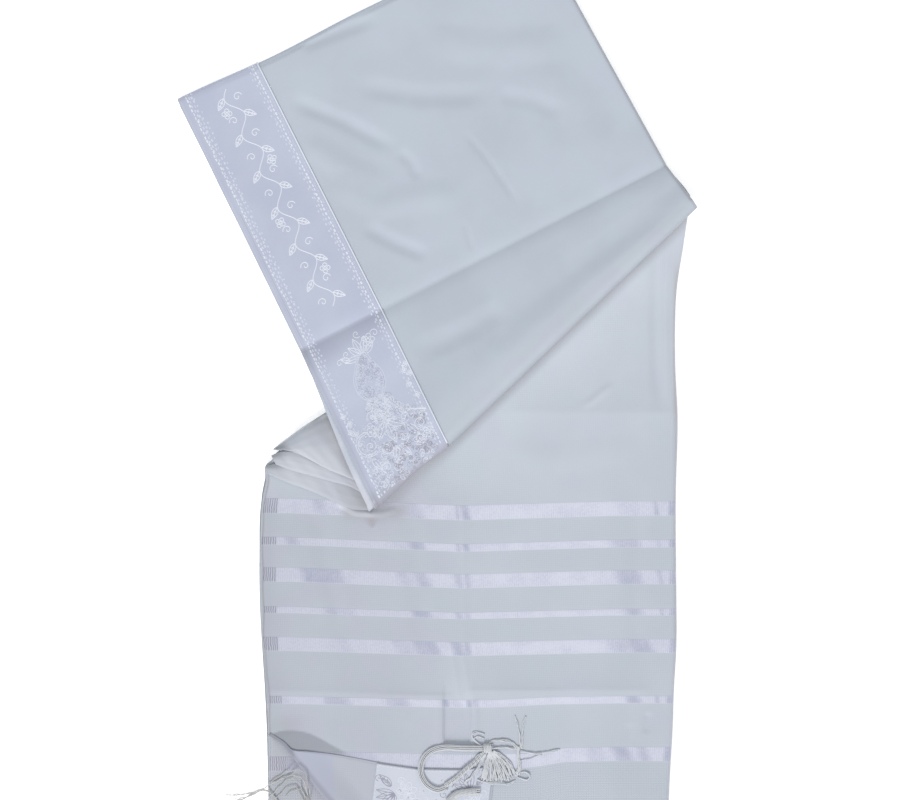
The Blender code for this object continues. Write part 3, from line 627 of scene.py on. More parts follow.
def heap_rings():
    """Sections of the heap, from its left side to its right, just under the panel."""
    first = PILE_INSET_LEFT / STRIP_WIDTH
    columns = [lerp(first, 0.985, t) for t in steps_to(24)]
    outer = panel_rows(columns, turn_edge=False, return_run=PILE_RETURN)[: VALLEY_ROWS - 4]
    inner = moved_out(outer, -UNDER_PANEL)
    rings = []
    for j in range(len(columns)):
        ring = [row[j] for row in inner]
        for end in (ring[-1], ring[0]):
            ring.append(Vector((end.x, end.y, PILE_BOTTOM)))
        rings.append(ring)
    return rings


heap = add_piece("heaped_layers", loft_mesh("heaped_layers", heap_rings()), smooth_cloth)
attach(heap, "root")
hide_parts("hidden_layers")
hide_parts("hidden_layers")


# ---------------------------------------------------------------- the strip's upper sheet
# The end of the shawl, woven as one with seven satin stripes: net-like cloth between them, ribbed selvage
# on the left, a coarse grid after the last stripe and plain cloth down to the hem. Its creases come from
# being packed folded.
GRID_LOW, GRID_HIGH = 129.0, 160.1
# A stripe's edges are measured from the hem. Its satin turns away from the light in patches, which are
# painted dull, from one X to another, by a depth.
Dull = namedtuple("Dull", "start end depth")
Stripe = namedtuple("Stripe", "low high dulls")
STRIPES = (
    Stripe(359.9, 371.5, (
        Dull(-140.0, -136.0, 0.35), Dull(-125.3, -111.8, 0.6), Dull(-84.0, -58.0, 0.9),
        Dull(-53.1, -36.5, 0.5), Dull(-10.8, -7.6, 0.8), Dull(-6.8, 0.6, 0.95), Dull(127.7, 134.0, 0.35),
        Dull(146.7, 150.7, 0.7),
    )),
    Stripe(334.9, 340.9, (
        Dull(-146.7, -134.0, 0.9), Dull(-62.6, -48.4, 0.3), Dull(-48.4, -34.9, 0.9),
        Dull(-10.5, -6.3, 0.6), Dull(-5.2, 1.2, 0.9), Dull(112.6, 135.6, 0.7), Dull(148.7, 153.0, 0.6),
    )),
    Stripe(305.6, 316.7, (
        Dull(-134.0, -98.3, 0.9), Dull(-57.1, -43.6, 0.5), Dull(-43.6, -30.9, 0.9),
        Dull(-11.5, -4.5, 0.8), Dull(-3.6, 1.6, 0.8), Dull(115.8, 138.0, 0.7), Dull(149.1, 154.6, 0.7),
    )),
    Stripe(280.6, 285.8, (
        Dull(-116.6, -88.8, 0.5), Dull(-45.2, -27.8, 0.9), Dull(-11.5, -4.5, 0.6), Dull(-3.6, 1.2, 0.5),
        Dull(123.7, 138.0, 0.9), Dull(151.5, 154.6, 0.8),
    )),
    Stripe(250.8, 261.6, (
        Dull(-106.3, -92.8, 0.35), Dull(-60.3, -42.8, 0.5), Dull(-45.2, -23.0, 0.8),
        Dull(-13.5, -4.2, 0.95), Dull(-3.6, 1.8, 0.6), Dull(109.4, 127.7, 0.4), Dull(126.1, 146.7, 0.8),
    )),
    Stripe(208.8, 214.8, (
        Dull(-150.0, -141.0, 0.45), Dull(-117.0, -92.0, 0.6), Dull(-68.0, -47.0, 0.6),
        Dull(-21.0, -15.0, 1.0), Dull(-15.0, -6.0, 0.45), Dull(-2.0, 2.0, 0.9), Dull(1.6, 7.9, 0.4),
        Dull(124.5, 136.4, 0.9), Dull(147.5, 151.5, 0.7),
    )),
    Stripe(160.1, 171.2, (
        Dull(-110.2, -70.6, 0.5), Dull(92.0, 110.0, 0.35), Dull(113.4, 129.3, 0.9),
        Dull(133.2, 143.5, 0.7),
    )),
)
LOWER_CREASES = (
    Crease(90.4, 3.2, 101.5, 11.9, 113.4, 22.2, 0.8, 5.0),
    Crease(149.6, 150.0, 148.3, 73.0, 149.9, 0.0, -1.6, 8.0),
    Crease(157.2, 140.0, 156.0, 73.0, 157.0, 0.0, 1.0, 5.0),
    Crease(-51.5, -46.0, -42.8, -117.4, -35.7, -200.6, -0.8, 14.0),
    Crease(-119.7, -69.8, -114.2, -117.4, -97.5, -192.7, -0.8, 13.0),
    Crease(-70.6, -69.8, -74.5, -125.3, -76.9, -196.7, 0.5, 15.0),
    Crease(135.6, -69.8, 132.4, -133.2, 130.8, -204.6, -0.8, 11.0),
    Crease(128.5, -245.8, 126.9, -260.1, 123.7, -272.8, -0.8, 6.0),
    Crease(142.7, -237.9, 141.9, -245.8, 139.6, -255.3, -0.7, 5.0),
    Crease(-106.0, -70.5, -90.0, -79.5, -68.0, -80.5, 1.4, 4.0),
    Crease(-84.0, -80.5, -72.0, -81.0, -56.0, -77.5, 0.7, 4.0),
    Crease(24.6, -30.1, 72.2, -38.1, 135.6, -26.2, 0.5, 16.0),
    Crease(-23.5, -226.0, -23.8, -250.0, -24.0, -276.0, 0.6, 5.0),
    Crease(5.0, -226.0, 5.5, -240.0, 5.5, -262.0, 0.6, 4.0),
)
LOWER_PRESSED = (
    Pressed(24.0, 0.4, 170.0, -0.4, 1.5, 17.0),
    Pressed(-168.0, -220.4, -16.0, -224.4, 1.2, 11.0),
    Pressed(-8.0, -219.7, 146.0, -220.5, 1.6, 13.0),
    Pressed(-4.8, -58.0, -3.6, -196.0, 0.45, 4.0),
    Pressed(-14.5, -184.0, -7.1, -228.0, 0.5, 2.6),
    Pressed(-6.0, -184.0, 1.6, -228.0, 0.6, 2.6),
)
PLEAT_LEFT, PLEAT_RIGHT = -20.2, 1.8
PLEAT_TOP, PLEAT_BOTTOM = -222.0, -263.0
PLEAT_DEPTH = 1.9
DIMPLE_X, DIMPLE_TIP_Y = -77.0, -93.0
# Where a soft painted shadow lies above the shadow of the lifted corner.
PENUMBRA_X, PENUMBRA_Y = -144.0, -248.0
SHEET_THICK, SECOND_THICK = 0.9, 0.8
FLAP_START = Vector((-159.4, -256.0))
FLAP_END = Vector((2.0, HEM_Y))
FLAP_ROLL = 2.8
EDGE_INSET = 2.3
# Shares of the sheet's width and length, and how many grid lines lie up to each: closer where its creases
# are sharp.
Stop = namedtuple("Stop", "share lines")
COLUMN_STOPS = (
    Stop(0.0, 0), Stop(0.04, 14), Stop(0.42, 74), Stop(0.53, 102), Stop(0.93, 146), Stop(1.0, 160),
)
LINE_STOPS = (
    Stop(0.0, 0), Stop(0.22, 14), Stop(0.42, 92), Stop(0.69, 150), Stop(0.88, 222), Stop(1.0, 244),
)
# The upper edge of the shadow under the lifted corner, as Y at even steps of X from its left end.
LENS_TOP = (-257.0, -253.1, -252.6, -254.5, -259.3, -265.4, -270.6)
LENS_LEFT, LENS_WIDTH = -160.0, 64.0
# The satin's painted sheen, from its bright highlight to its painted shade.
SATIN_BRIGHT = (0.672, 0.697, 0.812, 1.0)
SATIN_DULL = (0.425, 0.450, 0.575, 1.0)


def stripe_sag(x, y):
    """How far the stripes hang below their line at the left edge, most of all at the middle crease."""
    across = 5.2 * min(1.0, max(0.0, (x + 142.0) / 137.0)) - 3.2 * min(1.0, max(0.0, (x + 5.0) / 118.0))
    lifted = 4.2 * ease(45.0, 82.0, x) * fall(-265.0, -235.0, y)
    raised = 1.6 * ease(15.0, 70.0, x) * hump(y, -230.0, 20.0)
    return across * lerp(0.5, 1.1, ease(-290.0, -100.0, y)) - lifted - raised


def flap_line(along):
    """A plan point on the fold of the turned-up corner, which bows in a little near the strip's side."""
    bow = 3.0 * ease(0.0, 0.06, along) * fall(0.08, 0.3, along)
    return lerp(FLAP_START, FLAP_END, along) + flap_inside() * bow


def flap_inside():
    """The plan direction square to that fold, pointing under the strip."""
    run = (FLAP_END - FLAP_START).normalized()
    return Vector((-run.y, run.x))


def fold_roll(along):
    """The fold's radius. The corner turns tightly where it leaves the strip's side."""
    return FLAP_ROLL * lerp(0.3, 1.0, ease(0.0, 0.35, along))


def lower_left_limit(y):
    """How far left the upper sheet reaches at this y, below the start of the turned-up corner."""
    if y > FLAP_START.y:
        return -math.inf
    along = (FLAP_START.y - y) / (FLAP_START.y - FLAP_END.y)
    return flap_line(along).x + (fold_roll(along) + GAP + 0.6) / flap_inside().x


def lower_height(x, y):
    """The sheet's height: its creases, the sunk pleat at its middle, and its soft left edge."""
    pleat = ease(PLEAT_LEFT - 0.4, PLEAT_LEFT + 1.2, x) * fall(PLEAT_RIGHT - 1.2, PLEAT_RIGHT + 0.4, x)
    pleat *= ease(PLEAT_BOTTOM - 8, PLEAT_BOTTOM + 8, y) * fall(PLEAT_TOP - 16, PLEAT_TOP + 14, y)
    sunk = PLEAT_DEPTH * pleat
    left_fall = 0.7 * fall(0.0, 6.0, x + 165.0)
    folds = crease_height(LOWER_CREASES, x, y) + pressed_height(LOWER_PRESSED, x, y)
    return STACK_TOP + folds - sunk - left_fall


def stripe_dull(x, from_hem):
    """How dull the nearest stripe's satin is painted at this X, where it turns from the light. The patches
    lean, and fade out softly.
    """
    nearest = min(STRIPES, key=lambda s: abs(from_hem - (s.low + s.high) / 2))
    off_middle = from_hem - (nearest.low + nearest.high) / 2
    found = 0.0
    for d in nearest.dulls:
        width = d.end - d.start
        soft = min(5.0, width * 0.4)
        leaning = x + off_middle * min(0.45, width / 30.0)
        start, end = d.start - soft * 0.8, d.end + soft * 0.8
        from_start = d.depth * ease(start, start + 2 * soft, leaning)
        found = max(found, from_start * fall(end - 2 * soft, end, leaning))
    return found


def below_roll(x, y):
    """How far a plan point lies in front of the roll's foot line, and how far along that line."""
    run = (ROLL_RIGHT - ROLL_LEFT).normalized()
    off = Vector((x, y)) - ROLL_LEFT
    return run.y * off.x - run.x * off.y, off.dot(run)


def lower_warmth(x, y, from_left):
    """Painted warm shade: at the roll's foot, under the tip and round it, at both side edges, and in a soft
    shadow above the lifted corner.
    """
    before, along = below_roll(x, y)
    crevice = 0.28 * fall(3.0, 13.0, before) * ease(-12.0, 4.0, along)
    rim = 0.4 * ease(161.0, 163.5, x) * fall(100.0, 130.0, y) * lerp(0.5, 1.0, ease(-20.0, 10.0, y))
    selvage = 0.6 * fall(0.3, 1.6, from_left)
    point_width = max(0.5, 10.0 * (y - DIMPLE_TIP_Y) / 9.0)
    dimple = 0.55 * max(0.0, 1 - abs(x - DIMPLE_X) / point_width) * ease(DIMPLE_TIP_Y, -91.5, y)
    dimple *= fall(-84.0, -82.0, y)
    bulge = 0.3 * tip_rim(x, y)
    penumbra = 0.22 * hump(x, PENUMBRA_X, 20.0) * hump(y, PENUMBRA_Y, 12.0)
    return max(crevice, rim, selvage, dimple, bulge, penumbra)


def lower_light(x, y):
    """Painted light and shade: dim at the left, bright before the roll, the lifted corner's shadow, shade by
    the tip and a crease.
    """
    before, along = below_roll(x, y)
    in_front = 0.13 * ease(6.0, 14.0, before) * math.exp(-max(0.0, before - 12.0) / 32.0)
    in_front *= ease(40.0, 90.0, along)
    left = -0.065 * fall(-110.0, 40.0, x) - 0.09 * math.exp(-(x + 162.0) / 10.0)
    right = -0.02 * ease(100.0, 130.0, x)
    sides = (left + right) * fall(-80.0, -60.0, y)
    along_lens = min(0.999, max(0.0, (x - LENS_LEFT) / LENS_WIDTH))
    lens_top = through([Vector((0, h)) for h in LENS_TOP], along_lens).y
    lens = -0.28 * ease(-0.8, 0.8, lens_top - y) * fall(-106.0, -88.0, x)
    tip = -0.06 * hump(along, 16.0, 38.0) * fall(6.0, 22.0, before)
    pressed_line = lerp(-223.6, -220.0, ease(-20.0, 2.0, x))
    beside_pleat = ease(-80.0, -60.0, x) * fall(60.0, 90.0, x) * (1 - hump(x, -9.0, 12.0))
    ledge = -0.05 * hump(y, pressed_line, 2.6) * beside_pleat
    return in_front + sides + lens + tip + ledge


def tip_rim(x, y):
    """Where the cloth bulges round the tip of the roll and its stripe is out of the light."""
    return ease(-104.0, -96.0, x) * fall(-56.0, -42.0, x) * hump(y, -79.0, 12.0)


def stopped(stops):
    """The share at each grid line, from the stops on either side of it."""
    shares = []
    for near, far in zip(stops, stops[1:]):
        count = far.lines - near.lines
        shares += [lerp(near.share, far.share, k / count) for k in range(count)]
    return shares + [stops[-1].share]


def lower_rows():
    """Rows of points from the hem up, with where each lies on the cut, and its tones."""
    rows, cut, tone = [], [], []
    columns = stopped(COLUMN_STOPS)
    for fraction in stopped(LINE_STOPS):
        left, bend, right = section_corners(fraction)
        right = right + (bend - right).normalized() * EDGE_OUT
        into = (bend - left).normalized()
        wavy = 0.5 * math.sin(left.y / 13.0) + 0.35 * math.sin(left.y / 5.3)
        row = [place_across(left + into * (EDGE_INSET + wavy), bend, right, t) for t in columns]
        limit = lower_left_limit(left.y)
        if row[0].x < limit:
            row = [Vector((lerp(limit, right.x, t), p.y)) for t, p in zip(columns, row)]
        raised = turned_edge([Vector((p.x, p.y, lower_height(p.x, p.y))) for p in row], 1.0)
        rows.append(raised)
        for p in raised:
            from_hem = p.y - HEM_Y + stripe_sag(p.x, p.y)
            cut.append((p.x - left.x + (STACK_TOP - 0.4 - p.z if p.x > 160 else 0), from_hem))
            warm = lower_warmth(p.x, p.y, p.x - raised[0].x)
            # The satin is painted duller towards the sheet's sides and where it turns down at the right edge,
            # as shade.
            towards_side = 0.12 * (1 - ease(-60.0, 10.0, p.x) + ease(120.0, 135.0, p.x))
            turning_down = 0.9 * ease(right.x - 4.4, right.x - 1.6, p.x)
            dull = max(stripe_dull(p.x, from_hem), towards_side, turning_down)
            tone.append(Tone(dull, warm, tip_rim(p.x, p.y), lower_light(p.x, p.y)))
    return rows, cut, tone


def grid_faces(rows):
    """Faces through rows of points that run from left to right, looking up."""
    count = len(rows[0])
    faces = []
    for i in range(len(rows) - 1):
        for a in range(i * count, (i + 1) * count - 1):
            faces.append((a, a + 1, a + 1 + count, a + count))
    return faces


def lengths_on(rows):
    """Where each point lies on the flat cloth, from the lengths of its middle row and column."""
    middle_row, middle_column = rows[len(rows) // 2], len(rows[0]) // 2
    across, along = [0.0], [0.0]
    for a, b in zip(middle_row, middle_row[1:]):
        across.append(across[-1] + (b - a).length)
    for a, b in zip(rows, rows[1:]):
        along.append(along[-1] + (b[middle_column] - a[middle_column]).length)
    return [(u, v) for v in along for u in across]


def add_sheet(name, rows, finish, thickness, cut=None, tone=None):
    """A sheet of cloth whose outer face runs through the rows of points, with its thickness under it."""
    mesh = bpy.data.meshes.new(name)
    mesh.from_pydata([point * MM for row in rows for point in row], [], grid_faces(rows))
    put_cut(mesh, cut or lengths_on(rows))
    put_tone(mesh, tone or [Tone()] * len(mesh.vertices))
    piece = add_piece(name, mesh, finish)
    shell = piece.modifiers.new("thickness", "SOLIDIFY")
    shell.thickness = thickness * MM
    shell.offset = -1
    return piece


END_WHITE = (0.552, 0.595, 0.660, 1.0)
END_COOL = (0.528, 0.576, 0.634, 1.0)
END_MAUVE = (0.545, 0.560, 0.660, 1.0)
SELVAGE = 13.2
SELVAGE_RIB = 1.75
WARP = 1.45
GRID_WEAVE = 2.0
STRIPE_SOFT = 0.45
COMB_BELOW, COMB_ABOVE, COMB_INSIDE, COMB_SOFT = 2.2, 2.6, 1.6, 0.8
COMB_STRENGTH = 0.1
DENSE_FROM, DENSE_TO = 425.0, 450.0
RIB_DARK = (0.35, 0.365, 0.44, 1.0)
RIB_LIGHT = (0.58, 0.60, 0.715, 1.0)


def striped_finish(name):
    """The shawl's end: net-like cloth, satin stripes with combed edges, ribbed selvage, the coarse grid."""
    made, cut, across, along, tone = start_finish(name, CLOTH_ROUGHNESS, CLOTH_SHEEN)
    height, opening = weave(across, along, WARP)
    coarse, holes = weave(across, along, GRID_WEAVE)
    in_grid = along.between(GRID_LOW, GRID_HIGH, 0.8)
    dense = along.rise(DENSE_FROM, DENSE_TO)
    satin, comb = 0.0, 0.0
    for s in STRIPES:
        satin += along.between(s.low, s.high, STRIPE_SOFT)
        outer = along.between(s.low - COMB_BELOW, s.high + COMB_ABOVE, COMB_SOFT)
        comb += outer - along.between(s.low + COMB_INSIDE, s.high - COMB_INSIDE, COMB_SOFT)
    satin = satin * (1 - tone.plain)
    warp = across.wave(WARP)
    net = opening * (0.75 - dense * 0.6) + holes * in_grid * 0.9
    openings = (net + warp * 0.07).maths("MINIMUM", 1.0)
    mauve = 0.8 - across.rise(90.0, 190.0) * 0.55
    cloth = uneven_white(cut, openings, mauve, END_WHITE, END_COOL, END_MAUVE)
    beside_satin = comb * warp.rise(-0.3, 0.9) * (1 - satin) * COMB_STRENGTH * (1 - tone.plain)
    combed = beside_satin.blend(cloth, SATIN_BRIGHT)
    # The satin's sheen is painted into its colour: duller where the tone says, in broad patches, with fine
    # glints.
    patchy = cut.noise(60.0, 4.0).rise(0.3, 0.7)
    sparkle = cut.noise(620.0, 2.0).rise(0.3, 0.7)
    ruffled = (tone.dull * 0.9 + (patchy - 0.5) * 0.5 * tone.dull.rise(0.0, 0.3)).maths("MAXIMUM", 0.0)
    gleam = (1 - ruffled) * (0.66 + patchy * 0.3) + sparkle * 0.26 + warp * (0.12 + comb * 0.24) - 0.10
    sheen = gleam.maths("MAXIMUM", 0.0).maths("MINIMUM", 1.0).blend(SATIN_DULL, SATIN_BRIGHT)
    unruly = cut.noise(190.0, 1.0)
    ribs = (across + unruly * 2.2).wave(SELVAGE_RIB).rise(-0.5, 0.6)
    in_selvage = 1 - across.rise(SELVAGE - 0.8, SELVAGE + 0.8)
    selvage = in_selvage.blend(sheen, ribs.blend(RIB_DARK, RIB_LIGHT))
    shaded = toned(satin.blend(combed, selvage), tone)
    cloth_relief = height * 0.8 + coarse * in_grid * 1.2
    relief = (1 - satin) * cloth_relief + satin * (0.9 + warp * 0.2 + ribs * in_selvage)
    rough = CLOTH_ROUGHNESS - satin * 0.45 + satin * in_selvage * 0.3
    feed(made, Base_Color=shaded, Roughness=rough, Normal=relief.bump(0.22, 0.55))
    return made


striped_cloth = striped_finish("striped_white_cloth")
rows, cut, tone = lower_rows()
lower_sheet = add_sheet("lower_sheet", rows, striped_cloth, SHEET_THICK, cut, tone)
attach(lower_sheet, "root")
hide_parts("cloth_lower")


# ---------------------------------------------------------------- the next layer of the end
# Where the corner is turned up, the layer below it shows, down to the hem. It is the same cloth, with the
# same stripe and selvage, and lies loose under the strip, slipped a little along it.
SECOND_COLUMNS, SECOND_LINES = 120, 90
SECOND_LEFT, SECOND_RIGHT = -158.2, 153.0
SECOND_NEAR, SECOND_FAR = HEM_Y + 1, SECOND_BACK_Y - GAP - 0.2
SECOND_SLIP = 5.0
SECOND_WAVE = 0.15
# The layer under the corner has its satin painted dull and a painted warm shade, as it lies in shade.
SECOND_TONE = Tone(dull=0.9, warm=0.22, light=-0.04)
rows, cut = [], []
for v in steps_to(SECOND_LINES):
    row = []
    for u in steps_to(SECOND_COLUMNS):
        x, y = lerp(SECOND_LEFT, SECOND_RIGHT, u), lerp(SECOND_NEAR, SECOND_FAR, v)
        wave = SECOND_WAVE * math.sin(x / 19.0) * math.sin(y / 23.0)
        left_fall = 0.5 * fall(0.0, 4.0, x - SECOND_LEFT)
        row.append(Vector((x, y, SECOND_TOP + wave - SECOND_WAVE - left_fall)))
        cut.append((x - SECOND_LEFT, y - HEM_Y + SECOND_SLIP))
    rows.append(row)
second_sheet = add_sheet("second_sheet", rows, striped_cloth, SECOND_THICK, cut, [SECOND_TONE] * len(cut))
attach(second_sheet, "root")
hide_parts("cloth_lower_second")


# ---------------------------------------------------------------- the fanned layers
# At the left of the slanting turn the layers slip past each other and fan out: one bulges up in front,
# with a rolled lip, and two lie in thin steps below it.
Rib = namedtuple("Rib", "back_x back_y edge_x edge_y")
LAYER_ONE = (
    Rib(-155.4, -29.3, -137.4, -31.0),
    Rib(-146.5, -22.6, -124.0, -38.9),
    Rib(-134.4, -13.6, -110.4, -46.0),
    Rib(-122.0, -5.5, -94.0, -52.6),
    Rib(-107.6, 3.6, -75.8, -61.0),
)
LAYER_TWO = (
    Rib(-156.6, -34.5, -153.0, -41.5),
    Rib(-147.0, -31.0, -142.0, -45.8),
    Rib(-132.0, -33.0, -127.5, -49.8),
    Rib(-116.0, -40.0, -112.5, -54.2),
    Rib(-98.0, -47.5, -93.5, -59.5),
    Rib(-84.0, -56.0, -79.6, -68.0),
)
LAYER_THREE = (
    Rib(-161.2, -42.5, -158.6, -49.5),
    Rib(-148.0, -40.5, -143.0, -56.2),
    Rib(-131.0, -44.5, -127.0, -62.0),
    Rib(-115.0, -49.5, -111.0, -69.2),
    Rib(-99.0, -55.5, -96.0, -76.4),
    Rib(-86.0, -61.0, -79.2, -78.0),
)
# How high a layer stands at each reach from its back to its showing edge.
Height = namedtuple("Height", "reach height")
HEIGHTS_ONE = (
    Height(0.0, 8.2), Height(0.02, 11.5), Height(0.1, 14.6), Height(0.24, 16.4),
    Height(0.42, 17.0), Height(0.62, 16.2), Height(0.82, 15.2), Height(0.95, 14.4), Height(1.0, 13.6),
)
HEIGHTS_TWO = (
    Height(0.0, 12.2), Height(0.25, 12.7), Height(0.5, 12.8), Height(0.85, 12.2), Height(1.0, 11.4),
)
HEIGHTS_THREE = (
    Height(0.0, 10.0), Height(0.25, 10.3), Height(0.5, 10.4), Height(0.85, 10.1), Height(1.0, 9.5),
)
LAYER_ONE_SINK = 5.9
FAN_LINES, FAN_REACHES = 64, 30
FAN_SLACK = 0.25
LAYER_THICK = 0.7
# The fanned layers are the same cloth as the panel, painted lighter and a little warmer.
FAN_LIT_WHITE = (0.575, 0.610, 0.672, 1.0)
Fan = namedtuple("Fan", "name ribs heights sink ripple replaces width length")
FANS = (
    Fan("fanned_layer_front", LAYER_ONE, HEIGHTS_ONE, LAYER_ONE_SINK, 0.35, "fanned_layer_one", 0.066, 0.042),
    Fan("fanned_layer_middle", LAYER_TWO, HEIGHTS_TWO, 0.0, 0.4, "fanned_layer_two", 0.079, 0.014),
    Fan("fanned_layer_back", LAYER_THREE, HEIGHTS_THREE, 0.0, 0.35, "fanned_layer_three", 0.085, 0.018),
)


def height_at(heights, reach):
    """A layer's height at a reach, straight between the ones given."""
    for low, high in zip(heights, heights[1:]):
        if reach <= high.reach:
            return lerp(low.height, high.height, (reach - low.reach) / (high.reach - low.reach))
    return heights[-1].height


def fanned_rows(fan):
    """Rows from the showing edge to the back, each from left to right, with soft wrinkles across them."""
    backs = [Vector((r.back_x, r.back_y)) for r in fan.ribs]
    edges = [Vector((r.edge_x, r.edge_y)) for r in fan.ribs]
    rows = []
    for reach in reversed(steps_to(FAN_REACHES)):
        row = []
        for along in steps_to(FAN_LINES):
            plan = lerp(through(backs, along), through(edges, along), reach)
            height = height_at(fan.heights, reach)
            if fan.sink:
                height = max(fan.heights[0].height, height - fan.sink * ease(0.5, 1.0, along) * (1 - reach))
            wrinkle = math.sin(along * 17.0 + reach * 2.2) * 0.6 + math.sin(along * 31.0 - reach * 3.0) * 0.4
            inside = ease(0.0, 0.15, along) * fall(0.85, 1.0, along) * hump(reach, 0.6, 0.6)
            row.append(Vector((plan.x, plan.y, height - FAN_SLACK + fan.ripple * wrinkle * inside)))
        rows.append(row)
    return rows


def fan_tone(reach, along):
    """Painted shade: dim at the left end, warmer and darker towards the neckband, and dark deep under the
    layer above.
    """
    near_band = ease(0.6, 1.0, along)
    slot = fall(0.1, 0.3, along) * fall(0.1, 0.5, reach)
    dim_end = fall(0.0, 0.24, along)
    return Tone(warm=0.1 + 0.3 * near_band, light=-0.12 * dim_end - 0.3 * slot - 0.04 * near_band)


fan_tones = [fan_tone(1 - share, along) for share in steps_to(FAN_REACHES) for along in steps_to(FAN_LINES)]
fan_cloth = cloth_finish("fanned_cloth", SMOOTH_WEAVE, openness=0.2, white=FAN_LIT_WHITE)
for fan in FANS:
    fanned = add_sheet(fan.name, fanned_rows(fan), fan_cloth, LAYER_THICK, tone=fan_tones)
    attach(fanned, "root")
    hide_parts(fan.replaces)


# ---------------------------------------------------------------- the upper panel
# The middle of the shawl in smooth cloth, laid on a slant: rolled over where the strip turns, pressed into
# a valley crease, and doubled back under itself at the middle fold.
PANEL_COLUMNS = 132
# Painted warm shade on the panel's turned-down right edge.
SIDE_TONE = Tone(warm=0.4)


def roll_tone(i):
    """Painted warm shade low on the front of the roll, and a painted highlight along the ridge on its top."""
    low = fall(9.0, 14.0, i)
    ridge = ease(11.0, 14.5, i) * fall(19.0, 26.0, i)
    return Tone(warm=0.3 * low + 0.14 * ridge, light=0.07 * ridge - 0.1 * low)


panel = panel_rows(steps_to(PANEL_COLUMNS), turn_edge=True)
panel_tones = []
for i, row in enumerate(panel):
    panel_tones += [SIDE_TONE if j > PANEL_COLUMNS else roll_tone(i) for j in range(len(row))]
upper_sheet = add_sheet("upper_sheet", panel, smooth_cloth, SHEET_THICK, tone=panel_tones)
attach(upper_sheet, "root")
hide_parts("cloth_upper")


# ---------------------------------------------------------------- the edge of the layer under the panel
# Beside the neckband, from the valley crease to the tip, the next layer of the strip shows as a thin light
# edge. It is the same smooth cloth, lying loose under the panel, painted lighter, with painted warm shade at
# its outer edge and where it goes under the panel, and its painted light darker near the roll and brighter
# beyond.
EDGE_INSIDE = 7.0
EDGE_SHOWING = 5.0
EDGE_COLUMNS = 6
EDGE_SHARES = (1.0, 0.75, 0.5, 0.25)
EDGE_ROWS = slice(6, -8)
EDGE_WARM_SHADE = (0.5, 0.1, 0.0, 0.0, 0.2) + (1.0,) * EDGE_COLUMNS
EDGE_LIT_WHITE = (0.66, 0.69, 0.77, 1.0)
inside = EDGE_INSIDE / STRIP_WIDTH
outer = panel_rows([inside * t for t in steps_to(EDGE_COLUMNS)], turn_edge=False)[:VALLEY_ROWS]
rows = []
for i, row in enumerate(moved_out(outer, -UNDER_PANEL)):
    sideways = (row[0] - row[-1]).normalized()
    out = EDGE_SHOWING * fall(ROLL_ROWS + 10, VALLEY_ROWS - 1, i)
    rows.append([row[0] + sideways * out * share for share in EDGE_SHARES] + row)
rows = rows[EDGE_ROWS]
edge_tones = []
for i in range(len(rows)):
    light = lerp(-0.06, 0.14, ease(0, 24, i))
    edge_tones += [Tone(warm=warm, light=light) for warm in EDGE_WARM_SHADE]
lit_edge_cloth = cloth_finish("edge_cloth_painted_lighter", SMOOTH_WEAVE, openness=0.1, white=EDGE_LIT_WHITE)
edge_strip = add_sheet("edge_strip", rows, lit_edge_cloth, LAYER_THICK, tone=edge_tones)
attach(edge_strip, "root")
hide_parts("cloth_upper_second")


# ---------------------------------------------------------------- the neckband
# A satin band sewn along the middle of the shawl's long edge, with a corded edge, dotted borders and an
# embroidered bud and scrolls. Where a blessing is often stitched, this one has a running vine.
BAND_WIDTH = 71.0
BAND_MARGIN = 1.6
BAND_TURN = 0.3
BAND_RISE = 0.6
TRIM_THICK = 0.5
BAND_COLUMNS = 48
BAND_FIRST_ROW = 6
SATIN_ROUGHNESS, SATIN_SHEEN, SATIN_FLOAT = 0.42, 0.1, 0.9
THREAD_SHEEN = 0.2
BAND_SATIN = (0.525, 0.57, 0.69, 1.0)
BAND_SATIN_DEEP = (0.47, 0.50, 0.635, 1.0)
BRIGHT_THREAD = (0.755, 0.785, 0.875, 1.0)
SOFT_THREAD = (0.635, 0.675, 0.785, 1.0)
DIM_THREAD = (0.455, 0.485, 0.59, 1.0)
SHADED_THREAD = (0.385, 0.37, 0.435, 1.0)
ABOVE_ALL = 200.0
STITCH_SINK, STITCH_STEP, STITCH_RISE = 0.1, 0.9, 0.16
YARN_SIDES = 5
NEARLY_UP = Vector((0.05, 0.02, 1))


def path_length(path):
    return sum((b - a).length for a, b in zip(path, path[1:]))


class Ground:
    """The outer face of a sheet, as something to lay threads on."""

    def __init__(self, rows):
        self.tree = BVHTree.FromPolygons([point for row in rows for point in row], grid_faces(rows))

    def under(self, plan):
        """The face's point straight under a plan point, and its normal. Both are None beside the sheet."""
        return self.tree.ray_cast(Vector((plan.x, plan.y, ABOVE_ALL)), Vector((0, 0, -1)))[:2]


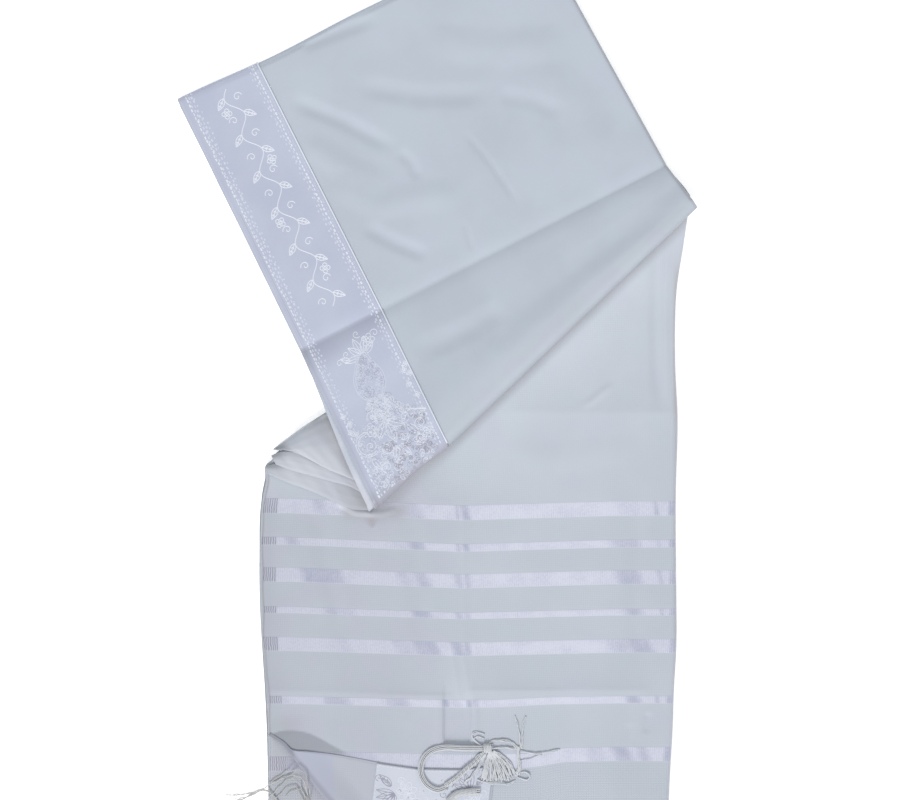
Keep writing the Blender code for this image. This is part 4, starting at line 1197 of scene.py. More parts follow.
class Threads:
    """Many thin closed threads, collected into one mesh."""

    def __init__(self):
        self.points, self.faces, self.smooth = [], [], []

    def close(self, start, sides, rings):
        """Faces round a thread whose rings of points begin at start, with filled ends. Yarns are smooth."""
        for k in range(rings - 1):
            for e in range(sides):
                a, b = start + sides * k + e, start + sides * k + (e + 1) % sides
                self.faces.append((a, b, b + sides, a + sides))
        last = start + sides * (rings - 1)
        self.faces.append(tuple(start + e for e in reversed(range(sides))))
        self.faces.append(tuple(last + e for e in range(sides)))
        self.smooth += [sides > 3] * (len(self.faces) - len(self.smooth))

    def flat(self, path, normals, width, rise):
        """A stitch of three-sided section on a face whose normals are given."""
        start = len(self.points)
        for k, (point, normal) in enumerate(zip(path, normals)):
            side = normal.cross(ahead_at(path, k)).normalized() * width / 2
            base = point - normal * STITCH_SINK
            self.points += [base + side, point + normal * rise, base - side]
        self.close(start, 3, len(path))

    def lay(self, ground, stroke, width, rise):
        """A stitch that follows a plan stroke over a sheet, as far as the sheet reaches."""
        path, normals = [], []
        for share in steps_to(max(1, round(path_length(stroke) / STITCH_STEP))):
            spot, normal = ground.under(through(stroke, share))
            if spot is None:
                break
            path.append(spot)
            normals.append(normal)
        if len(path) > 1:
            self.flat(path, normals, width, rise)

    def round(self, path, radius):
        """A round yarn along a path in space."""
        start = len(self.points)
        for k, point in enumerate(path):
            ahead = ahead_at(path, k).normalized()
            side = ahead.cross(NEARLY_UP).normalized()
            up = side.cross(ahead)
            for e in range(YARN_SIDES):
                turn = 2 * math.pi * e / YARN_SIDES
                self.points.append(point + (side * math.cos(turn) - up * math.sin(turn)) * radius)
        self.close(start, YARN_SIDES, len(path))

    def piece(self, name, finish):
        mesh = bpy.data.meshes.new(name)
        mesh.from_pydata([point * MM for point in self.points], [], self.faces)
        made = add_piece(name, mesh, finish)
        mesh.polygons.foreach_set("use_smooth", self.smooth)
        return made


def polar(x, y, reach, angle):
    """The point at a reach from x and y, in the direction of an angle in radians."""
    return Vector((x + reach * math.cos(angle), y + reach * math.sin(angle)))


def curl(x, y, radius, start, turns):
    """A spiral from its outer end, at a start angle in degrees, in to its middle."""
    stroke = []
    for share in steps_to(int(10 * abs(turns)) + 4):
        angle = math.radians(start + 360 * turns * share)
        stroke.append(polar(x, y, radius * (1 - 0.88 * share), angle))
    return [stroke]


def arc(x, y, radius, start, sweep):
    """Part of a circle, from a start angle and through a sweep, both in degrees."""
    count = max(4, int(abs(sweep) / 18))
    return [[polar(x, y, radius, math.radians(start + sweep * k / count)) for k in range(count + 1)]]


def leaf(x, y, length, width, angle, ribs=0):
    """A pointed leaf from its stalk, with a midrib and pairs of side ribs."""
    ahead = polar(0, 0, 1, math.radians(angle))
    aside = Vector((-ahead.y, ahead.x))
    foot = Vector((x, y))
    strokes = []
    for side in (-1, 1):
        edge = []
        for share in steps_to(8):
            out = math.sin(math.pi * share**0.8) * width / 2
            edge.append(foot + ahead * length * share + aside * side * out)
        strokes.append(edge)
        for k in range(ribs):
            share = (k + 1) / (ribs + 1.5)
            root = foot + ahead * length * share
            strokes.append([root, root + ahead * length * 0.16 + aside * side * width * 0.3])
    strokes.append([foot, foot + ahead * length * 0.9])
    return strokes


def blossom(x, y, radius, count, turn=0.0):
    """Loop petals round a small ring."""
    strokes = arc(x, y, radius * 0.24, 0, 360)
    for k in range(count):
        heading = turn + 360 * k / count
        for side in (-1, 1):
            petal = []
            for share in steps_to(6):
                angle = math.radians(heading + side * 150 / count * math.sin(math.pi * share))
                petal.append(polar(x, y, radius * (0.3 + 0.7 * share), angle))
            strokes.append(petal)
    return strokes


def satin_finish(name, light, deep):
    """Satin of fine even floats, with its sheen painted in: soft broad brighter and deeper patches, duller
    where the tone says.
    """
    made, cut, _, along, tone = start_finish(name, SATIN_ROUGHNESS, SATIN_SHEEN)
    broad = cut.noise(22.0, 2.0).rise(0.35, 0.68)
    floats = along.wave(SATIN_FLOAT)
    slub = cut.noise(420.0, 2.0)
    tint = (broad * 0.5 + slub * 0.35 + floats * 0.06 + tone.dull).maths("MINIMUM", 1.0).blend(light, deep)
    feed(made, Base_Color=toned(tint, tone), Normal=(floats * 0.3 + slub).bump(0.1, 0.35))
    return made


def thread_finish(name, colour, roughness):
    """Smooth thread, one even colour."""
    return even_finish(name, Base_Color=colour, Roughness=roughness, Sheen_Weight=THREAD_SHEEN)


band_satin = satin_finish("neckband_satin", BAND_SATIN, BAND_SATIN_DEEP)
bright_thread = thread_finish("bright_thread", BRIGHT_THREAD, 0.45)
soft_thread = thread_finish("soft_thread", SOFT_THREAD, 0.55)
dim_thread = thread_finish("dim_thread", DIM_THREAD, 0.6)
shaded_thread = thread_finish("shaded_thread", SHADED_THREAD, 0.6)

band_columns = [(BAND_MARGIN + BAND_WIDTH * share) / STRIP_WIDTH for share in steps_to(BAND_COLUMNS)]
band_columns[0] = BAND_TURN / STRIP_WIDTH
band_rows = moved_out(panel_rows(band_columns, turn_edge=False), BAND_RISE)[BAND_FIRST_ROW:-2]
# Painted light and shade on the band: warm shade low on the roll's front, light on the slope, shade before
# the valley, near the tip and at its outer margin.
band_tones = []
for row in range(BAND_FIRST_ROW, BAND_FIRST_ROW + len(band_rows)):
    below_valley = fall(VALLEY_ROWS - 1, VALLEY_ROWS, row)
    slope = 0.07 * ease(14.0, 20.0, row) * fall(VALLEY_ROWS - 12, VALLEY_ROWS - 6, row)
    slope -= 0.12 * ease(VALLEY_ROWS - 12, VALLEY_ROWS - 2, row) * below_valley
    for share in steps_to(BAND_COLUMNS):
        near_tip = fall(0.1, 0.7, share)
        foot = 0.65 * fall(9.0, 15.5 + 4.0 * near_tip, row)
        turned = 0.09 * near_tip * fall(15.0, 24.0, row)
        margin = 0.12 * fall(0.01, 0.06, share)
        light = slope - turned - margin * fall(VALLEY_ROWS - 2, VALLEY_ROWS + 4, row)
        band_tones.append(Tone(warm=foot + margin, light=light))
neckband = add_sheet("neckband_satin", band_rows, band_satin, TRIM_THICK, tone=band_tones)
band_ground = Ground(band_rows)

# Places on the band are how far they are from its outer edge, and how far from the valley crease towards
# the roll.
TO_ROLL = (ROLL_LEFT - VALLEY_LEFT).normalized()


def on_band(place):
    along = TO_ROLL * place.y if place.y > 0 else TO_FOLD * -place.y
    return VALLEY_LEFT + ACROSS_PANEL * (BAND_MARGIN + place.x) + along


def stitch(threads, ground, to_plan, strokes, width):
    """Lays each stroke on the ground as a stitch of this width."""
    for stroke in strokes:
        threads.lay(ground, [to_plan(place) for place in stroke], width, STITCH_RISE)


def edge_run(rows, aside, shown):
    """Points and normals along the shown rows of a sheet, at one share of its width."""
    normals = normals_of(rows)
    place = aside * (len(rows[0]) - 1)
    k = min(int(place), len(rows[0]) - 2)
    t = place - k
    path = [lerp(row[k], row[k + 1], t) for row in rows[shown]]
    return path, [lerp(line[k], line[k + 1], t).normalized() for line in normals[shown]]


def at_length(points, length):
    """The point that far along a path."""
    for a, b in zip(points, points[1:]):
        step = (b - a).length
        if length <= step:
            return lerp(a, b, length / step)
        length -= step
    return points[-1]


def dashes(threads, path, normals, border, dice):
    """Short stitches in a row along a path. They vary in width, and stray a little to its sides."""
    whole = path_length(path)
    steps = len(path) - 1
    place = 0.0
    while place + border.dash < whole:
        points = [at_length(path, place + border.dash * share) for share in steps_to(3)]
        normal = normals[min(steps, round(place / whole * steps))]
        aside = normal.cross(points[-1] - points[0]).normalized() * dice.uniform(-border.stray, border.stray)
        width = border.width * dice.uniform(0.6, 1.3)
        threads.flat([point + aside for point in points], [normal] * len(points), width, STITCH_RISE)
        place += border.dash + border.gap * dice.uniform(0.5, 1.5)


Border = namedtuple("Border", "from_edge dash gap width stray")
BRIGHT_BORDERS = (
    Border(BAND_WIDTH - 4.6, 2.3, 1.3, 1.9, 0.4),
    Border(5.8, 2.4, 1.2, 1.7, 0.4),
)
SOFT_BORDERS = (
    Border(BAND_WIDTH - 2.5, 1.6, 0.8, 0.8, 0.2),
    Border(BAND_WIDTH - 6.7, 2.2, 1.6, 1.9, 0.8),
    Border(BAND_WIDTH - 8.8, 1.8, 4.5, 1.8, 0.9),
    Border(7.5, 2.2, 1.5, 1.8, 0.6),
    Border(10.0, 2.2, 1.5, 2.0, 0.8),
    Border(12.0, 1.6, 3.0, 1.8, 0.9),
)
VINE_STITCH, OUTLINE_STITCH, ORNAMENT_STITCH, FINE_STITCH, BAR_STITCH = 1.2, 1.1, 0.95, 0.85, 2.6
CORD_RADIUS = 0.75
CORD_SINK = Vector((0, 0, 0.25))
SHADE_LINE_START, SHADE_LINE_LENGTH, SHADE_LINE_FROM_EDGE = 2.0, 120.0, 3.2
SHADE_LINE_WIDTH, SHADE_LINE_RISE = 1.5, 0.1
BORDER_ROWS, CORD_ROWS, SHADE_LINE_ROWS = slice(8, -4), slice(6, -1), slice(0, -4)
BAND_SEED = 7
bright, soft, dim, dark = Threads(), Threads(), Threads(), Threads()
dice = random.Random(BAND_SEED)
for threads, borders in ((bright, BRIGHT_BORDERS), (soft, SOFT_BORDERS)):
    for b in borders:
        path, normals = edge_run(band_rows, b.from_edge / BAND_WIDTH, BORDER_ROWS)
        dashes(threads, path, normals, b, dice)
corded, _ = edge_run(band_rows, 1.0, CORD_ROWS)
bright.round([point - CORD_SINK for point in corded], CORD_RADIUS)
# A line of dim thread 3.2 mm inside the band's outer edge, from the valley crease towards the middle fold, is
# painted shade along that edge.
path, normals = edge_run(band_rows, SHADE_LINE_FROM_EDGE / BAND_WIDTH, SHADE_LINE_ROWS)
shade_line = []
for point, normal in zip(path, normals):
    if SHADE_LINE_START < (point.xy - VALLEY_LEFT).dot(TO_FOLD) < SHADE_LINE_LENGTH:
        shade_line.append((point, normal))
dim.flat(*zip(*shade_line), SHADE_LINE_WIDTH, SHADE_LINE_RISE)

# The vine: a waving stem, with a leaf, a curl and now and then a blossom to each half wave.
VINE_START, VINE_END, VINE_WAVE = -212.0, -12.0, 32.0
VINE_MIDDLE = 37.0
VINE_SWING = 5.0
vine = []
for k in range(int((VINE_END - VINE_START) / (VINE_WAVE / 2))):
    y = VINE_START + k * VINE_WAVE / 2
    side = 1 if k % 2 else -1
    stem = []
    for share in steps_to(8):
        out = VINE_SWING * side * math.sin(math.pi * share)
        stem.append(Vector((VINE_MIDDLE + out, y + VINE_WAVE / 2 * share)))
    vine.append(stem)
    vine += leaf(VINE_MIDDLE + side * VINE_SWING, y + 6, 10.5, 4.6, 90 - side * 50, ribs=2)
    vine += curl(VINE_MIDDLE - side * 5.5, y + 9.5, 3.8, 90 + side * 90, side * 1.1)
    if k % 3 == 1:
        vine += blossom(VINE_MIDDLE - side * 8.0, y + 2.0, 4.2, 4, 20 * k)
stitch(bright, band_ground, on_band, vine, VINE_STITCH)

# The bud: a stippled pear shape with a crown of loops, a sprig to its left, over a spray of scrolls and
# blossoms.
BUD_TOP, BUD_FOOT = Vector((41.0, 24.0)), Vector((35.5, 62.0))
BUD_WIDTH = 25.0
BUD_WIDEST, BUD_ROUND = 0.58, 0.42
BUD_RINGS, BUD_PIT_SHARE = 210, 0.4
OUTLINE_INSETS = (0.0, 1.8)
bud_ahead = (BUD_FOOT - BUD_TOP).normalized()
bud_aside = Vector((bud_ahead.y, -bud_ahead.x))
bud_length = (BUD_FOOT - BUD_TOP).length


def bud_half_width(share):
    """A pear shape: a narrow neck, widest past its middle, and a round foot."""
    foot = max(0.0, (share - BUD_WIDEST) / BUD_ROUND)
    return BUD_WIDTH / 2 * lerp(0.4, 1.0, ease(0.0, 0.55, share)) * math.sqrt(max(0.0, 1 - foot * foot))


outline = []
for side in (-1, 1):
    for inset in OUTLINE_INSETS:
        edge = []
        for share in steps_to(14):
            out = max(0.2, bud_half_width(share) - inset)
            edge.append(BUD_TOP + bud_ahead * bud_length * share + bud_aside * side * out)
        outline.append(edge)
stipple, pits = [], []
for _ in range(BUD_RINGS):
    share, out = dice.random(), dice.uniform(-0.86, 0.86)
    spot = BUD_TOP + bud_ahead * bud_length * share + bud_aside * bud_half_width(share) * out
    ring = arc(spot.x, spot.y, dice.uniform(0.8, 1.5), dice.uniform(0, 360), dice.uniform(160, 330))
    if dice.random() < BUD_PIT_SHARE:
        pits += ring
    else:
        stipple += ring
crown = leaf(41.5, 24.0, 14.0, 5.4, 262) + leaf(40.5, 24.5, 12.0, 5.0, 232)
crown += leaf(43.0, 24.0, 13.5, 5.4, 296) + leaf(44.0, 25.0, 11.5, 4.6, 328)
crown += blossom(50.5, 16.5, 5.6, 5, 10) + curl(57.5, 13.5, 3.6, 200, 1.1) + curl(44.0, 8.0, 3.4, 60, 1.1)
crown += leaf(38.0, 25.5, 12.0, 4.4, 184) + leaf(31.0, 25.0, 8.5, 3.8, 214)
crown += curl(22.5, 23.0, 3.2, 0, -1.1) + curl(30.0, 19.0, 3.0, 90, 1.1)
stitch(bright, band_ground, on_band, crown, ORNAMENT_STITCH)
stitch(soft, band_ground, on_band, outline, OUTLINE_STITCH)
stitch(soft, band_ground, on_band, stipple, FINE_STITCH)
stitch(dim, band_ground, on_band, pits, FINE_STITCH)

Curl = namedtuple("Curl", "x y radius start turns")
SPRAY_CURLS = (
    Curl(16.5, 92.5, 5.0, 300, 1.6),
    Curl(60.0, 93.5, 5.2, 120, 1.4),
    Curl(50.5, 83.5, 4.4, 90, -1.3),
    Curl(28.0, 72.0, 4.6, 190, 1.3),
    Curl(42.5, 70.5, 4.4, 20, -1.3),
    Curl(27.5, 99.5, 5.0, 40, 1.4),
    Curl(43.0, 98.0, 5.0, 140, -1.4),
    Curl(21.5, 113.0, 5.0, 100, 1.4),
    Curl(33.0, 112.0, 4.8, 300, -1.4),
    Curl(55.0, 104.0, 4.4, 80, 1.3),
)
spray = arc(15.5, 90.5, 9.8, 60, 250) + arc(15.5, 90.5, 8.3, 66, 236)
for c in SPRAY_CURLS:
    spray += curl(*c)
Leaf = namedtuple("Leaf", "x y length width angle")
SPRAY_LEAVES = (
    Leaf(36.0, 64.0, 13.0, 5.4, 66),
    Leaf(34.0, 64.0, 12.5, 5.2, 116),
    Leaf(37.0, 80.0, 15.0, 6.0, 40),
    Leaf(35.0, 80.0, 15.0, 6.0, 132),
    Leaf(36.0, 82.0, 17.0, 7.0, 88),
    Leaf(50.0, 90.0, 12.5, 5.2, 62),
    Leaf(37.0, 102.0, 13.0, 5.4, 60),
    Leaf(35.0, 101.0, 13.0, 5.2, 112),
    Leaf(13.5, 102.0, 12.0, 4.8, 72),
    Leaf(50.0, 108.0, 11.0, 4.6, -14),
)
for l in SPRAY_LEAVES:
    spray += leaf(*l)
spray += blossom(34.5, 74.5, 5.0, 5, 40) + blossom(23.0, 83.0, 4.8, 5, 10) + blossom(62.5, 102.5, 4.4, 5, 30)
ROSETTES = (
    (69.0, 46.5), (66.0, 50.5), (69.2, 54.5), (65.0, 62.0), (67.5, 72.5),
    (6.8, 62.0), (9.0, 69.5), (6.8, 76.0), (10.0, 79.0),
)
for place in ROSETTES:
    spray += blossom(*Vector(place), 2.4, 4)
stitch(bright, band_ground, on_band, spray, ORNAMENT_STITCH)
stitch(bright, band_ground, on_band, [[Vector((54.0, 78.6)), Vector((69.0, 85.4))]], BAR_STITCH)
# Small curls fill the ground round the spray. Where the cloth turns down at the roll, many are in the shaded
# thread, as painted shade.
FILLING_CURLS, SHADED_SHARE = 500, 0.55
KIND_SHARES = (0.4, 0.38, 0.22)
filling = {"bright": [], "soft": [], "dim": [], "dark": []}
for _ in range(FILLING_CURLS):
    y = dice.uniform(60, 128)
    reach = lerp(8, 30, ease(58, 92, y))
    spot = Vector((37.0 + dice.uniform(-1, 1) * reach, y))
    near_roll = ease(100.0, 118.0, spot.x * 0.36 + spot.y) * ease(16.0, 30.0, spot.x)
    small = curl(spot.x, spot.y, dice.uniform(1.2, 3.0), dice.uniform(0, 360), dice.choice((-1.1, 1.1)))
    kind = dice.choices(("bright", "soft", "dim"), KIND_SHARES)[0]
    filling["dark" if dice.random() < SHADED_SHARE * near_roll else kind] += small
for threads, curls in zip((bright, soft, dim, dark), filling.values()):
    stitch(threads, band_ground, on_band, curls, FINE_STITCH)

band_threads = (
    bright.piece("neckband_bright_stitches", bright_thread),
    soft.piece("neckband_soft_stitches", soft_thread),
    dim.piece("neckband_dim_stitches", dim_thread),
    dark.piece("neckband_shaded_stitches", shaded_thread),
)
for piece in (neckband, *band_threads):
    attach(piece, "root")
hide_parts("neckband")


# ---------------------------------------------------------------- the turned-up corner
# The strip's near left corner is folded up over itself, so the wrong side of the cloth shows, with the
# wrong side of the last stripe and of the grid next to its embroidered corner.
FLAP_TIP = Vector((21.4, -280.0))
FLAP_REST = STACK_TOP + 0.8
FLAP_LIFT = 0.2
FLAP_PRESSED = 0.3
FLAP_EDGE = [Vector(place) for place in (
    (-157.4, -254.2), (-146.6, -261.4), (-139.6, -267.8), (-127.0, -269.2), (-109.0, -271.2),
    (-86.4, -275.0), (-67.4, -278.6), (-40.4, -282.4), (-7.1, -283.0),
)] + [FLAP_TIP]
FLAP_TURN = 0.5
FLAP_SHARE = 0.965
FLAP_THICK = 0.6
REVERSE_WEAVE = 1.65
FLAP_ANGLES = range(270, 89, -15)
FLAP_LINES = 120
FLAP_REACHES = 70
TO_START = (FLAP_EDGE[-3] - FLAP_TIP).normalized()
TO_HEM = (FLAP_END - FLAP_TIP).normalized()
REVERSE_WHITE = (0.495, 0.520, 0.592, 1.0)
REVERSE_SATIN = (0.475, 0.500, 0.610, 1.0)


def flap_depth(x, y):
    """How far a plan point lies inside the fold of the turned-up corner."""
    return (Vector((x, y)) - FLAP_START).dot(flap_inside())


def flap_height(x, y):
    """The corner's top: soft at its fold, lifted along its free edge near the strip's side, then level."""
    depth = flap_depth(x, y)
    run = FLAP_END - FLAP_START
    crest = STACK_TOP - CLOTH + 2 * fold_roll((Vector((x, y)) - FLAP_START).dot(run) / run.length_squared)
    settle = (crest - FLAP_REST) * fall(FLAP_ROLL, 26.0, depth)
    beside_edge = fall(0.0, 26.0, (-266.0 - 0.1 * (x + 144.0)) - y)
    lift = FLAP_LIFT * hump(x, -130.0, 42.0) * beside_edge
    return FLAP_REST + settle + lift


def flap_rows():
    """Rows from under the fold, round it and out to the free edge, each from the strip's side to the hem."""
    columns = []
    for share in steps_to(FLAP_LINES):
        along = FLAP_SHARE * share
        fold, roll = flap_line(along), fold_roll(along)
        if along < FLAP_TURN:
            free = through(FLAP_EDGE, along / FLAP_TURN)
        else:
            free = lerp(FLAP_TIP, FLAP_END, (along - FLAP_TURN) / (1 - FLAP_TURN))
        column = []
        for angle in FLAP_ANGLES:
            turn = math.radians(angle)
            plan = fold + flap_inside() * roll * (1 + math.cos(turn))
            column.append(Vector((plan.x, plan.y, STACK_TOP - CLOTH + roll * (1 + math.sin(turn)))))
        crest = fold + flap_inside() * roll
        for reach in steps_to(FLAP_REACHES)[1:]:
            plan = lerp(crest, free, reach)
            pressed = FLAP_PRESSED * ease(0.93, 0.99, reach)
            column.append(Vector((plan.x, plan.y, flap_height(plan.x, plan.y) - pressed)))
        columns.append(column)
    return [[column[k] for column in columns] for k in range(len(columns[0]))]


def reverse_finish(name):
    """The wrong side of the cloth: duller, with the floats of the last stripe and of the grid."""
    made, cut, across, along, tone = start_finish(name, CLOTH_ROUGHNESS, CLOTH_SHEEN)
    height, opening = weave(across, along, REVERSE_WEAVE)
    floats = along.between(GRID_LOW, GRID_HIGH + 12.0, 1.0)
    mottle = cut.noise(18.0, 3.0).rise(0.35, 0.65)
    plain = (mottle * 0.35 + opening * 0.35).blend(REVERSE_WHITE, CLOTH_SHADE)
    tint = floats.blend(plain, REVERSE_SATIN)
    feed(made, Base_Color=toned(tint, tone), Normal=(height * (1 - floats * 0.7)).bump(0.15, 0.5))
    return made


rows = flap_rows()
cut, tone = [], []
for row in rows:
    for k, p in enumerate(row):
        off = Vector((p.x, p.y)) - FLAP_TIP
        cut.append((off.dot(TO_HEM), off.dot(TO_START)))
        # Painted shade: the sliver where the corner curls up is darkened like the shadow beside it, and the
        # cloth darkens and warms into the fold's crevice.
        curled = fall(0.1, 0.125, FLAP_SHARE * k / FLAP_LINES)
        crevice = fall(3.5, 8.0, flap_depth(p.x, p.y))
        tone.append(Tone(warm=0.15 * crevice, light=-0.34 * curled - 0.2 * crevice * (1 - curled)))
wrong_side = reverse_finish("wrong_side_of_cloth")
flap = add_sheet("turned_up_corner", rows, wrong_side, FLAP_THICK, cut, tone)
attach(flap, "root")
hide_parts("corner_flap")


# ---------------------------------------------------------------- the corner patches
# A square of satin is sewn on each corner, embroidered with leaves and blossoms round the hole for the
# tassel. One is on the turned-up corner, and one on the layer below it.
PATCH_SIDE = 93.0
PATCH_MARGIN = 2.0
PATCH_HEM_MARGIN = 0.6
PATCH_RISE = 0.55
PATCH_HEM = 1.4
HEM_STITCHES = 30
CORNER_SPECKS, MIDDLE_SPECKS, DARK_SPECK_SHARE = 110, 300, 0.25
SPECK_SEED = 3
PATCH_FOLD_DEPTH = 14.0
PATCH_STEPS = 72
PATCH_GREY = (0.37, 0.375, 0.46, 1.0)
LOW_PATCH_LEFT, LOW_PATCH_NEAR = -156.4, HEM_Y + 3.0
PATCH_SATIN = (0.64, 0.675, 0.765, 1.0)
PATCH_SATIN_DEEP = (0.57, 0.60, 0.70, 1.0)


def clear_of_fold(plan):
    """Brings the part of the patch that the fold takes in back to just inside it."""
    depth = flap_depth(plan.x, plan.y)
    if depth > PATCH_FOLD_DEPTH:
        return plan
    return plan + flap_inside() * (PATCH_FOLD_DEPTH - depth) * 0.8


def on_flap_patch(place):
    beside = at_length(FLAP_EDGE[::-1], PATCH_MARGIN + place.x)
    return clear_of_fold(beside + TO_HEM * (PATCH_HEM_MARGIN + place.y))


def on_low_patch(place):
    return Vector((LOW_PATCH_LEFT + place.x, LOW_PATCH_NEAR + place.y))


def patch_rows(to_plan, mirrored, height):
    """A square of points on the corner's height or, where there is none, level on the layer below."""
    rows = []
    for v in steps_to(PATCH_STEPS):
        row = []
        for u in steps_to(PATCH_STEPS):
            across, along = (1 - u, 1 - v) if mirrored else (u, v)
            plan = to_plan(Vector((PATCH_SIDE * across, PATCH_SIDE * along)))
            base = height(plan.x, plan.y) if height else SECOND_TOP
            row.append(Vector((plan.x, plan.y, base + PATCH_RISE)))
        rows.append(row)
    return rows


Spray = namedtuple("Spray", "x y turn")
CORNER_SPRAYS = (Spray(75, 20, 0), Spray(78, 75, 90), Spray(18, 78, 180), Spray(15, 18, 270))


def turned(strokes, x, y, degrees):
    """Strokes turned about their origin and moved."""
    c, s = math.cos(math.radians(degrees)), math.sin(math.radians(degrees))
    return [[Vector((x + p.x * c - p.y * s, y + p.x * s + p.y * c)) for p in stroke] for stroke in strokes]


def patch_ornament():
    """Bright and dark strokes: a large blossom at the middle, and leaves and blossoms at each corner."""
    bright_strokes, dark_strokes = [], []
    spray_dark = leaf(4.0, -4.0, 13.0, 5.6, -34, ribs=2) + leaf(4.5, -3.2, 10.0, 3.6, -34)
    for angle in (-4, 20, 44, 68, 92):
        spray_dark += leaf(1, 2, 15.0, 4.6, angle)
    spray_dark += curl(-2.0, 22.0, 3.6, 0, 1.2) + curl(15.0, -9.0, 3.0, 90, -1.2)
    spray_bright = blossom(-8.5, -1.0, 8.5, 7) + blossom(-15.0, 13.0, 8.0, 6, 20)
    spray_bright += blossom(-25.0, 22.0, 6.0, 6) + curl(-3.0, -9.0, 3.6, 180, 1.2)
    spray_bright += curl(-24.0, 8.0, 4.4, 180, 1.3) + curl(-8.0, 13.0, 3.2, 0, 1.2)
    for s in CORNER_SPRAYS:
        bright_strokes += turned(spray_bright, s.x, s.y, s.turn)
        dark_strokes += turned(spray_dark, s.x, s.y, s.turn)
    middle = PATCH_SIDE / 2
    bright_strokes += blossom(middle, middle, 15.0, 9) + blossom(middle, middle, 9.5, 9, 20)
    bright_strokes += arc(middle, middle, 3.4, 0, 360) + arc(middle, middle, 4.6, 0, 360)
    for out in range(20, 380, 40):
        dark_strokes += leaf(*polar(middle, middle, 15.5, math.radians(out)), 7.0, 3.0, out, ribs=1)
    near, far = PATCH_HEM, PATCH_SIDE - PATCH_HEM
    corners = [Vector((near, near)), Vector((far, near)), Vector((far, far)), Vector((near, far))]
    for start, end in zip(corners, corners[1:] + corners[:1]):
        for k in range(HEM_STITCHES):
            bright_strokes.append([lerp(start, end, (k + share) / HEM_STITCHES) for share in (0.25, 0.7)])
    specks = random.Random(SPECK_SEED)
    for s in CORNER_SPRAYS:
        dots = []
        for _ in range(CORNER_SPECKS):
            share = specks.random()
            x, y = lerp(-4, -28, share) + specks.gauss(0, 2.0), lerp(-6, 20, share) + specks.gauss(0, 2.0)
            spot, turn = Vector((x, y)), specks.uniform(0, math.tau)
            dots.append([spot, spot + polar(0, 0, 1, turn) * specks.uniform(1.0, 2.2)])
        bright_strokes += turned(dots, s.x, s.y, s.turn)
    for _ in range(MIDDLE_SPECKS):
        angle, reach = specks.uniform(0, math.tau), specks.uniform(17, 40)
        spot, turn = polar(middle, middle, reach, angle), specks.uniform(0, math.tau)
        tick = [spot, spot + polar(0, 0, 1, turn) * specks.uniform(0.8, 1.6)]
        (dark_strokes if specks.random() < DARK_SPECK_SHARE else bright_strokes).append(tick)
    return bright_strokes, dark_strokes


patch_thread = thread_finish("patch_thread", PATCH_GREY, 0.6)
patch_satin = satin_finish("patch_satin", PATCH_SATIN, PATCH_SATIN_DEEP)
bright_strokes, dark_strokes = patch_ornament()
Patch = namedtuple("Patch", "name to_plan mirrored height replaces rests_on")
PATCHES = (
    Patch("near_corner_patch", on_flap_patch, True, flap_height, "corner_patch", "corner_flap"),
    Patch("low_corner_patch", on_low_patch, False, None, "corner_patch_second", "cloth_lower_second"),
)
for p in PATCHES:
    rows = patch_rows(p.to_plan, p.mirrored, p.height)
    patch = add_sheet(p.name, rows, patch_satin, TRIM_THICK)
    ground = Ground(rows)
    bright, dark = Threads(), Threads()
    stitch(bright, ground, p.to_plan, bright_strokes, FINE_STITCH)
    stitch(dark, ground, p.to_plan, dark_strokes, FINE_STITCH)
    stitches = (
        bright.piece(p.name + "_bright_stitches", bright_thread),
        dark.piece(p.name + "_shaded_stitches", patch_thread),
    )
    for piece in (patch, *stitches):
        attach(piece, "root")
    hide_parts(p.replaces)


# ---------------------------------------------------------------- the tassels
# Each corner has a tassel of soft ivory yarn: a bundle looped through the hole, wound and knotted, whose
# ends lie loose in curls. They only rest on the cloth.
YARN = 0.46
YARN_CLEARANCE = 0.1
UP = Vector((0, 0, 1))
LOOSE_YARN = 0.4
FINE_YARN = 0.34
BUNDLE = 0.7
TASSEL_IVORY = (0.65, 0.675, 0.71, 1.0)
# The left tassel's yarn is the same ivory, painted darker as shade.
TASSEL_SHADED = (0.53, 0.53, 0.525, 1.0)
# A cord is a bundle of yarns side by side, wound at a pitch or not, and joined to the knot or not. A route
# is that of a few loose yarns, which start at the knot's height where from_knot is set.
Cord = namedtuple("Cord", "yarns width wound joins points")
Route = namedtuple("Route", "yarns spread from_knot points")
NEAR_KNOT = Vector((15.1, -266.5))
NEAR_CORDS = (
    Cord(9, 4.0, 0.0, True, (
        (-17.4, -297.4), (-25.2, -299.5), (-33.0, -295.6), (-37.7, -287.9), (-38.0, -280.0),
        (-34.8, -273.0), (-28.5, -268.0), (-19.0, -265.8), (-6.0, -266.4), (12.0, -266.6),
    )),
    Cord(8, 3.0, 3.4, True, (
        (-19.0, -296.0), (-10.0, -290.0), (-2.0, -282.8), (6.0, -276.4), (12.5, -270.0),
    )),
    Cord(8, 4.6, 1.0, False, (
        (-17.0, -309.0), (-10.0, -303.0), (-1.0, -301.0), (9.0, -300.6),
    )),
)
